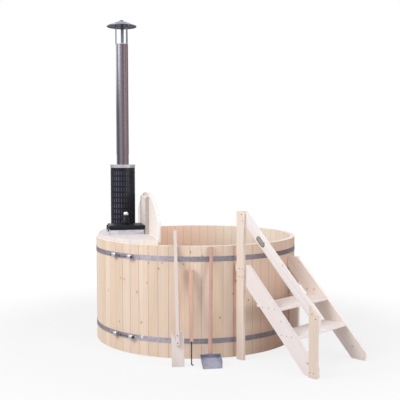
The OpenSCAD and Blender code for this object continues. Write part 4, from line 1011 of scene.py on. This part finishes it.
Form().skin(lidLoops(lid), bayPlace(lid.x, lid.y, 0)).make("lid_cover", blackPaint, "lid", "black",
    ["lid_shell"], 30)
stem = [(0.0335, 0.0), (0.0345, 0.004), (0.0342, 0.02), (0.0322, 0.038), (0.0285, 0.055), (0.0252, 0.068),
    (0.0238, 0.078), (0.0232, 0.084), (0.021, 0.086), (0.012, 0.0835)]
Form().skin(turned(stem, 40), bayPlace(lid.x, lid.y, lid.top)).make("lid_knob_stem", blackPaint, "lid",
    "black", ["lid_handle_stem"])
seal = Look(halfX=0.123, halfY=0.113, corner=0.02, radius=0.0042, height=1.0922, turns=46, steps=640,
    strands=3, sides=18, dip=0.22, press=0.9)


def ropeLoops(look):
    outline = [Vector(p) for p in rounded(look.halfX, look.halfY, look.corner, look.height, 10)]
    spans = [(outline[(i + 1) % len(outline)] - p).length for i, p in enumerate(outline)]
    total, loops, index, gone = sum(spans), [], 0, 0.0
    for i in range(look.steps):
        want = total * i / look.steps
        while gone + spans[index] < want:
            gone += spans[index]
            index += 1
        ahead = (outline[(index + 1) % len(outline)] - outline[index]).normalized()
        point = outline[index] + ahead * (want - gone)
        side, lay = ahead.cross(upward), 2 * pi * look.turns * i / look.steps
        loop = []
        for k, (c, s) in enumerate(circle(look.sides)):
            swell = abs(cos(look.strands / 2 * (2 * pi * k / look.sides - lay)))
            wide = look.radius * (1 - look.dip + look.dip * swell)
            loop.append(point + wide * (c * side + s * upward * look.press))
        loops.append(loop)
    return loops


Form().skin(ropeLoops(seal), bayPlace(lid.x, lid.y, 0), around=True).make("seal_rope", ropeFinish, "tub",
    "rope", ["lid_seal"], 60)

# Mesh sheet behind the slots of the guard; its tone is painted lighter on the left, where the lamps reach,
# and darker towards the right with painted shade
liner = Look(radius=0.1195, low=1.0885, high=1.690, wall=0.0006)
guardLining = makeMetal("guard lining", metalLook("9a99bb", "777696", 0.3, 0.45, 200, flueAxis,
    ((0.0, "f0f0f0"), (0.12, "e8e8e8"), (0.2, "c8c8c8"), (0.27, "8c8c8c"), (0.34, "6c6c6c"),
    (0.5, "606060"), (0.75, "808080"), (1.0, "f0f0f0"))))
inner, outer = liner.radius - liner.wall, liner.radius
rolled = [(outer, liner.low), (outer, liner.high), (inner, liner.high), (inner, liner.low)]
Form().skin(turned(rolled, 96), onFlue, around=True).make("guard_lining", guardLining, "tub", "black")

# Folded seams at the back of the pipes
seam = Look(bearing=radians(72), half=0.005, proud=0.0016, sunk=-0.0002,
    shape=((-1, None), (-1, 0.7), (-0.6, 1), (0.6, 1), (1, 0.5), (1, None)),
    pipes=((0.062, 1.725, 1.829), (0.0638, 1.832, 2.938)))
seams = Form()
for radius, low, high in seam.pipes:
    outline = []
    for side, proud in seam.shape:
        out = radius + (seam.sunk if proud is None else seam.proud * proud)
        turn = seam.bearing + side * seam.half / radius
        outline.append((out * cos(turn), out * sin(turn)))
    seams.skin([[(x, y, z) for x, y in outline] for z in (low, high)], onFlue)
seams.make("flue_seams", pipeFinish, "tub", "stainless")

# Hem and rivet of the cap, and the bead of its sleeve
hem = Look(radius=0.149, height=3.1185, bead=0.0022, apex=3.183)
rivet = [(0.019, -0.0062), (0.018, -0.0035), (0.0095, -0.002), (0.0095, -0.0005), (0.0078, 0.001),
    (0.004, 0.002), (0.0004, 0.0022)]
capTrim = Form().skin(beadLoops(hem.radius, hem.height, hem.bead, 96), onFlue, around=True)
capTrim.skin(turned(rivet, 28), moved(flueAxis + upward * hem.apex), ends=(False, True))
capTrim.make("cap_hem_and_rivet", pipeFinish, "flue_cap", "stainless")
low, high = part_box("cap_sleeve")
lip = Look(bead=0.0026, inward=0.6, under=0.8, radius=(high.x - low.x) / 2, height=high.z)
lipBead = beadLoops(lip.radius - lip.bead * lip.inward, lip.height - lip.bead * lip.under, lip.bead, 72)
Form().skin(lipBead, onFlue, around=True).make("cap_sleeve_bead", metal["ring"], "flue_cap", "stainless")

print("making the plate and tools' pieces")
plate = Look(half=0.033, radius=0.0225, slope=radians(45.8), lift=0.003,
    rim="3a3430", dark=0.9, fade=(0.55, 0.95),
    profile=((1, 0.0, 0.0), (1, 0.0, 0.0014), (1, 0.0006, 0.0022), (1, 0.0022, 0.0026), (1, 0.0036, 0.002),
    (1, 0.0042, 0.0012), (0.9, 0.009, 0.0021), (0.7, 0.01575, 0.0026)))


def oval(half, radius, height, steps=14):
    return [(side * half + radius * side * cos(a), radius * side * sin(a), height) for side in (1, -1)
        for a in (pi * (i / steps - 0.5) for i in range(steps + 1))]


def makeBadge(look):
    # a blank oval plate with a raised, dark rim
    middle = sum(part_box("handrail_plate"), Vector()) / 2
    long = (stepOut * cos(look.slope) - upward * sin(look.slope)).normalized()
    short = long.cross(stepSide)
    place = moved(middle + stepSide * look.lift / 2) \
        @ Matrix((long, short, -stepSide)).transposed().to_4x4()
    half, radius = look.half, look.radius
    finish = makeMetal("badge", metalLook("d0c8c0", "8a817a", 0.5, 0.38, 110))
    at = finish.place()
    along, across = (abs(finish.vectors("DOT_PRODUCT", at, way) - middle.dot(way))
        for way in (long, short))
    beyond = (along - half).most(0.0)
    rimward = (beyond * beyond + across * across) ** 0.5 / radius
    plain = Sock(finish, finish.shader.inputs["Base Color"].links[0].from_socket)
    finish.put({"Base Color": finish.mix(rimward.between(0.0, look.dark, *look.fade, True), plain,
        tone(look.rim))})
    loops = [oval(half * share, radius - inset, height) for share, inset, height in look.profile]
    Form().skin(loops, place).make("handrail_badge_blank", finish, "tub", "plate", ["handrail_plate"], 40)


makeBadge(plate)

poker = Look(tipUp=0.005, rod=0.005, tipShare=0.55, hook=(0.024, 0.02), hookTurn=radians(40), bend=0.011,
    steps=8, grip=(0.04, 0.12, 0.2, 0.288))
pokerLean = leanOf("poker_handle")
leaning = spun(atan2(pokerLean.y, pokerLean.z), "X").inverted()
hookWay = (leaning @ spun(poker.hookTurn, "Z")).to_3x3() @ -backward
foot = middlesOf("poker_handle")[0]
foot -= pokerLean * (foot.z - poker.tipUp) / pokerLean.z
path = [foot + hookWay * share for share in poker.hook]
for i in range(poker.steps + 1):
    angle = pi / 2 * i / poker.steps
    path.append(foot + hookWay * poker.bend * (1 - sin(angle))
        + pokerLean * poker.bend * (1 - cos(angle)))
path += [foot + pokerLean * share for share in poker.grip]
Form().skin(alongPath(path, (poker.rod * poker.tipShare, poker.rod), 16)).make("poker_bar", metal["soot"],
    "poker", "poker_steel", ["poker_rod"])

pan = Look(place=(0.143, -1.292, 0), yaw=radians(9), tilt=radians(29), half=0.0825, deep=0.144, side=0.032,
    share=0.35, flare=radians(16), wall=0.002, tip=1.2, hem=0.0022, hemGaps=(0.0015, 0.001),
    hemSpans=(10, 8), backHem=(-1, -0.3, 0.3, 1))
collar = Look(radius=0.0178, bore=0.0162, low=0.002, high=0.026, steps=36)


def makePan(look):
    place = moved(look.place) @ spun(look.yaw, "Z") @ spun(look.tilt, "X")
    wall, half, deep, side = look.wall, look.half, look.deep, look.side
    flareOut, flareUp = sin(look.flare), cos(look.flare)
    mouth = deep * look.share

    def trough(y, over, up):
        return [(-half - over, y, up), (-half, y, 0.0), (half, y, 0.0), (half + over, y, up)]

    sheet, loops = Form(), []
    for y in (0.0, mouth, deep):
        tall = max(side * min(1.0, y / mouth), wall * look.tip)
        over, up = tall * flareOut, tall * flareUp
        loops.append(trough(y, over, up) + [(half + over - wall, y, up), (half - wall, y, wall),
            (wall - half, y, wall), (wall - half - over, y, up)])
    sheet.skin(loops, place)
    sheet.skin([trough(y, side * flareOut, side) for y in (deep - wall, deep)], place)
    sleeve = [(collar.bore, collar.low), (collar.radius, collar.low), (collar.radius, collar.high),
        (collar.bore, collar.high)]
    sheet.skin(turned(sleeve, collar.steps),
        aimed(middlesOf("shovel_handle")[0], leanOf("shovel_handle")), around=True)
    sheet.make("pan_sheet", metal["pan"], "shovel", "pan_steel", ["shovel_pan"])

    trim, lines = Form(), []
    (start, end), (first, last) = look.hemGaps, look.hemSpans
    for way in (-1, 1):
        base, over = way * (half - wall / 2), way * (side * flareOut)
        edge = [Vector((base, start, wall / 2)), Vector((base + over, mouth, side * flareUp)),
            Vector((base + over, deep - end, side * flareUp))]
        lines.append([edge[0].lerp(edge[1], i / first) for i in range(first)]
            + [edge[1].lerp(edge[2], i / last) for i in range(last + 1)])
    lines.append([Vector((x * (half + side * flareOut), deep - wall / 2, side))
        for x in look.backHem])
    for line in lines:
        trim.skin([[place @ p for p in loop] for loop in alongPath(line, [look.hem] * 2, 10)])
    trim.make("pan_hems", metal["pan"], "shovel", "pan_steel")


makePan(pan)

# Soft grip on the drain's lever
grip = Look(start=1.0928, long=0.0465, halfX=0.0112, halfZ=0.0045, z=0.0905, power=0.6,
    profile=((0.0, 0.8), (0.002, 1.0), (0.85, 1.0), (0.96, 0.92), (1.0, 0.7)))
Form().skin([[(grip.halfX * size * squared(c, grip.power), grip.start + grip.long * share,
    grip.z + grip.halfZ * size * squared(s, grip.power)) for c, s in circle(24)]
    for share, size in grip.profile]).make("lever_grip", leverFinish, "drain_lever", "lever")
print("own pieces made")


# Floor, backdrop and lamps
studio = Look(ambient=0.42, sky=(0.94, 0.935, 1.0, 1.0), floorReach=40.0, floorDrop=0.0005, floorKeep=0.2,
    floorFade=(1.6, 3.2), floorTone="cfcfcf", aim=Vector((0, 0, 0.8)),
    lamps={"key": (560.0, (-6.5, -4.5, 6.0), 4.2), "over": (62.0, (0.4, -1.6, 6.2), 2.4),
    "right": (235.0, (6.0, -5.0, 3.0), 4.0)})
white = (1.0, 1.0, 1.0, 1.0)


def makeSky(scene, look):
    scene.world = bpy.data.worlds.new("studio")
    sky = Tree(scene.world)
    seen, glossy, clear = (sky.node("LightPath", out=name) for name in ("Is Camera Ray", "Is Glossy Ray",
        "Is Transmission Ray"))
    for ray in (glossy, clear):
        seen = sky.node("Math", {"operation": "ADD", "use_clamp": True}, {0: seen, 1: ray})
    sky.feed(sky.nodes["Background"].inputs, {"Color": sky.mix(seen, look.sky, white),
        "Strength": seen.between(look.ambient, 1.0)})


def hangLamp(scene, name, power, place, size, aim):
    data = bpy.data.lights.new(name, "AREA")
    data.energy, data.size = power, size
    lamp = bpy.data.objects.new(name, data)
    scene.collection.objects.link(lamp)
    lamp.location = place
    lamp.rotation_euler = (aim - lamp.location).to_track_quat("-Z", "Y").to_euler()


def layFloor(scene, look):
    # white where the camera looks past the part, with its shadow kept close by
    reach = look.floorReach
    mesh = bpy.data.meshes.new("floor")
    mesh.from_pydata([(x * reach, y * reach, 0) for x, y in ((-1, -1), (1, -1), (1, 1), (-1, 1))], [],
        [(0, 1, 2, 3)])
    floor = bpy.data.objects.new("floor", mesh)
    scene.collection.objects.link(floor)
    floor.location.z = -look.floorDrop
    paint = Finish("floor paint", Roughness=0.95)
    paint.put({"Base Color": tone(look.floorTone), "Specular IOR Level": 0.0})
    seen = paint.node("LightPath", out="Is Camera Ray")
    glow = paint.node("Emission", None, {"Color": white, "Strength": 1.0})
    away = paint.vectors("LENGTH", paint.place())
    keep = away.between(look.floorKeep, 0.0, *look.floorFade, True)
    both = paint.node("MixShader", None, {0: seen * (1 - keep), 1: Sock(paint, paint.shader.outputs[0]),
        2: glow})
    paint.feed(paint.nodes["Material Output"].inputs, {"Surface": both})
    mesh.materials.append(paint.material)


scene = bpy.context.scene
scene.view_settings.view_transform = "Standard"
makeSky(scene, studio)
for name, (power, place, size) in studio.lamps.items():
    hangLamp(scene, name, power, place, size, studio.aim)
layFloor(scene, studio)
print("studio lit")
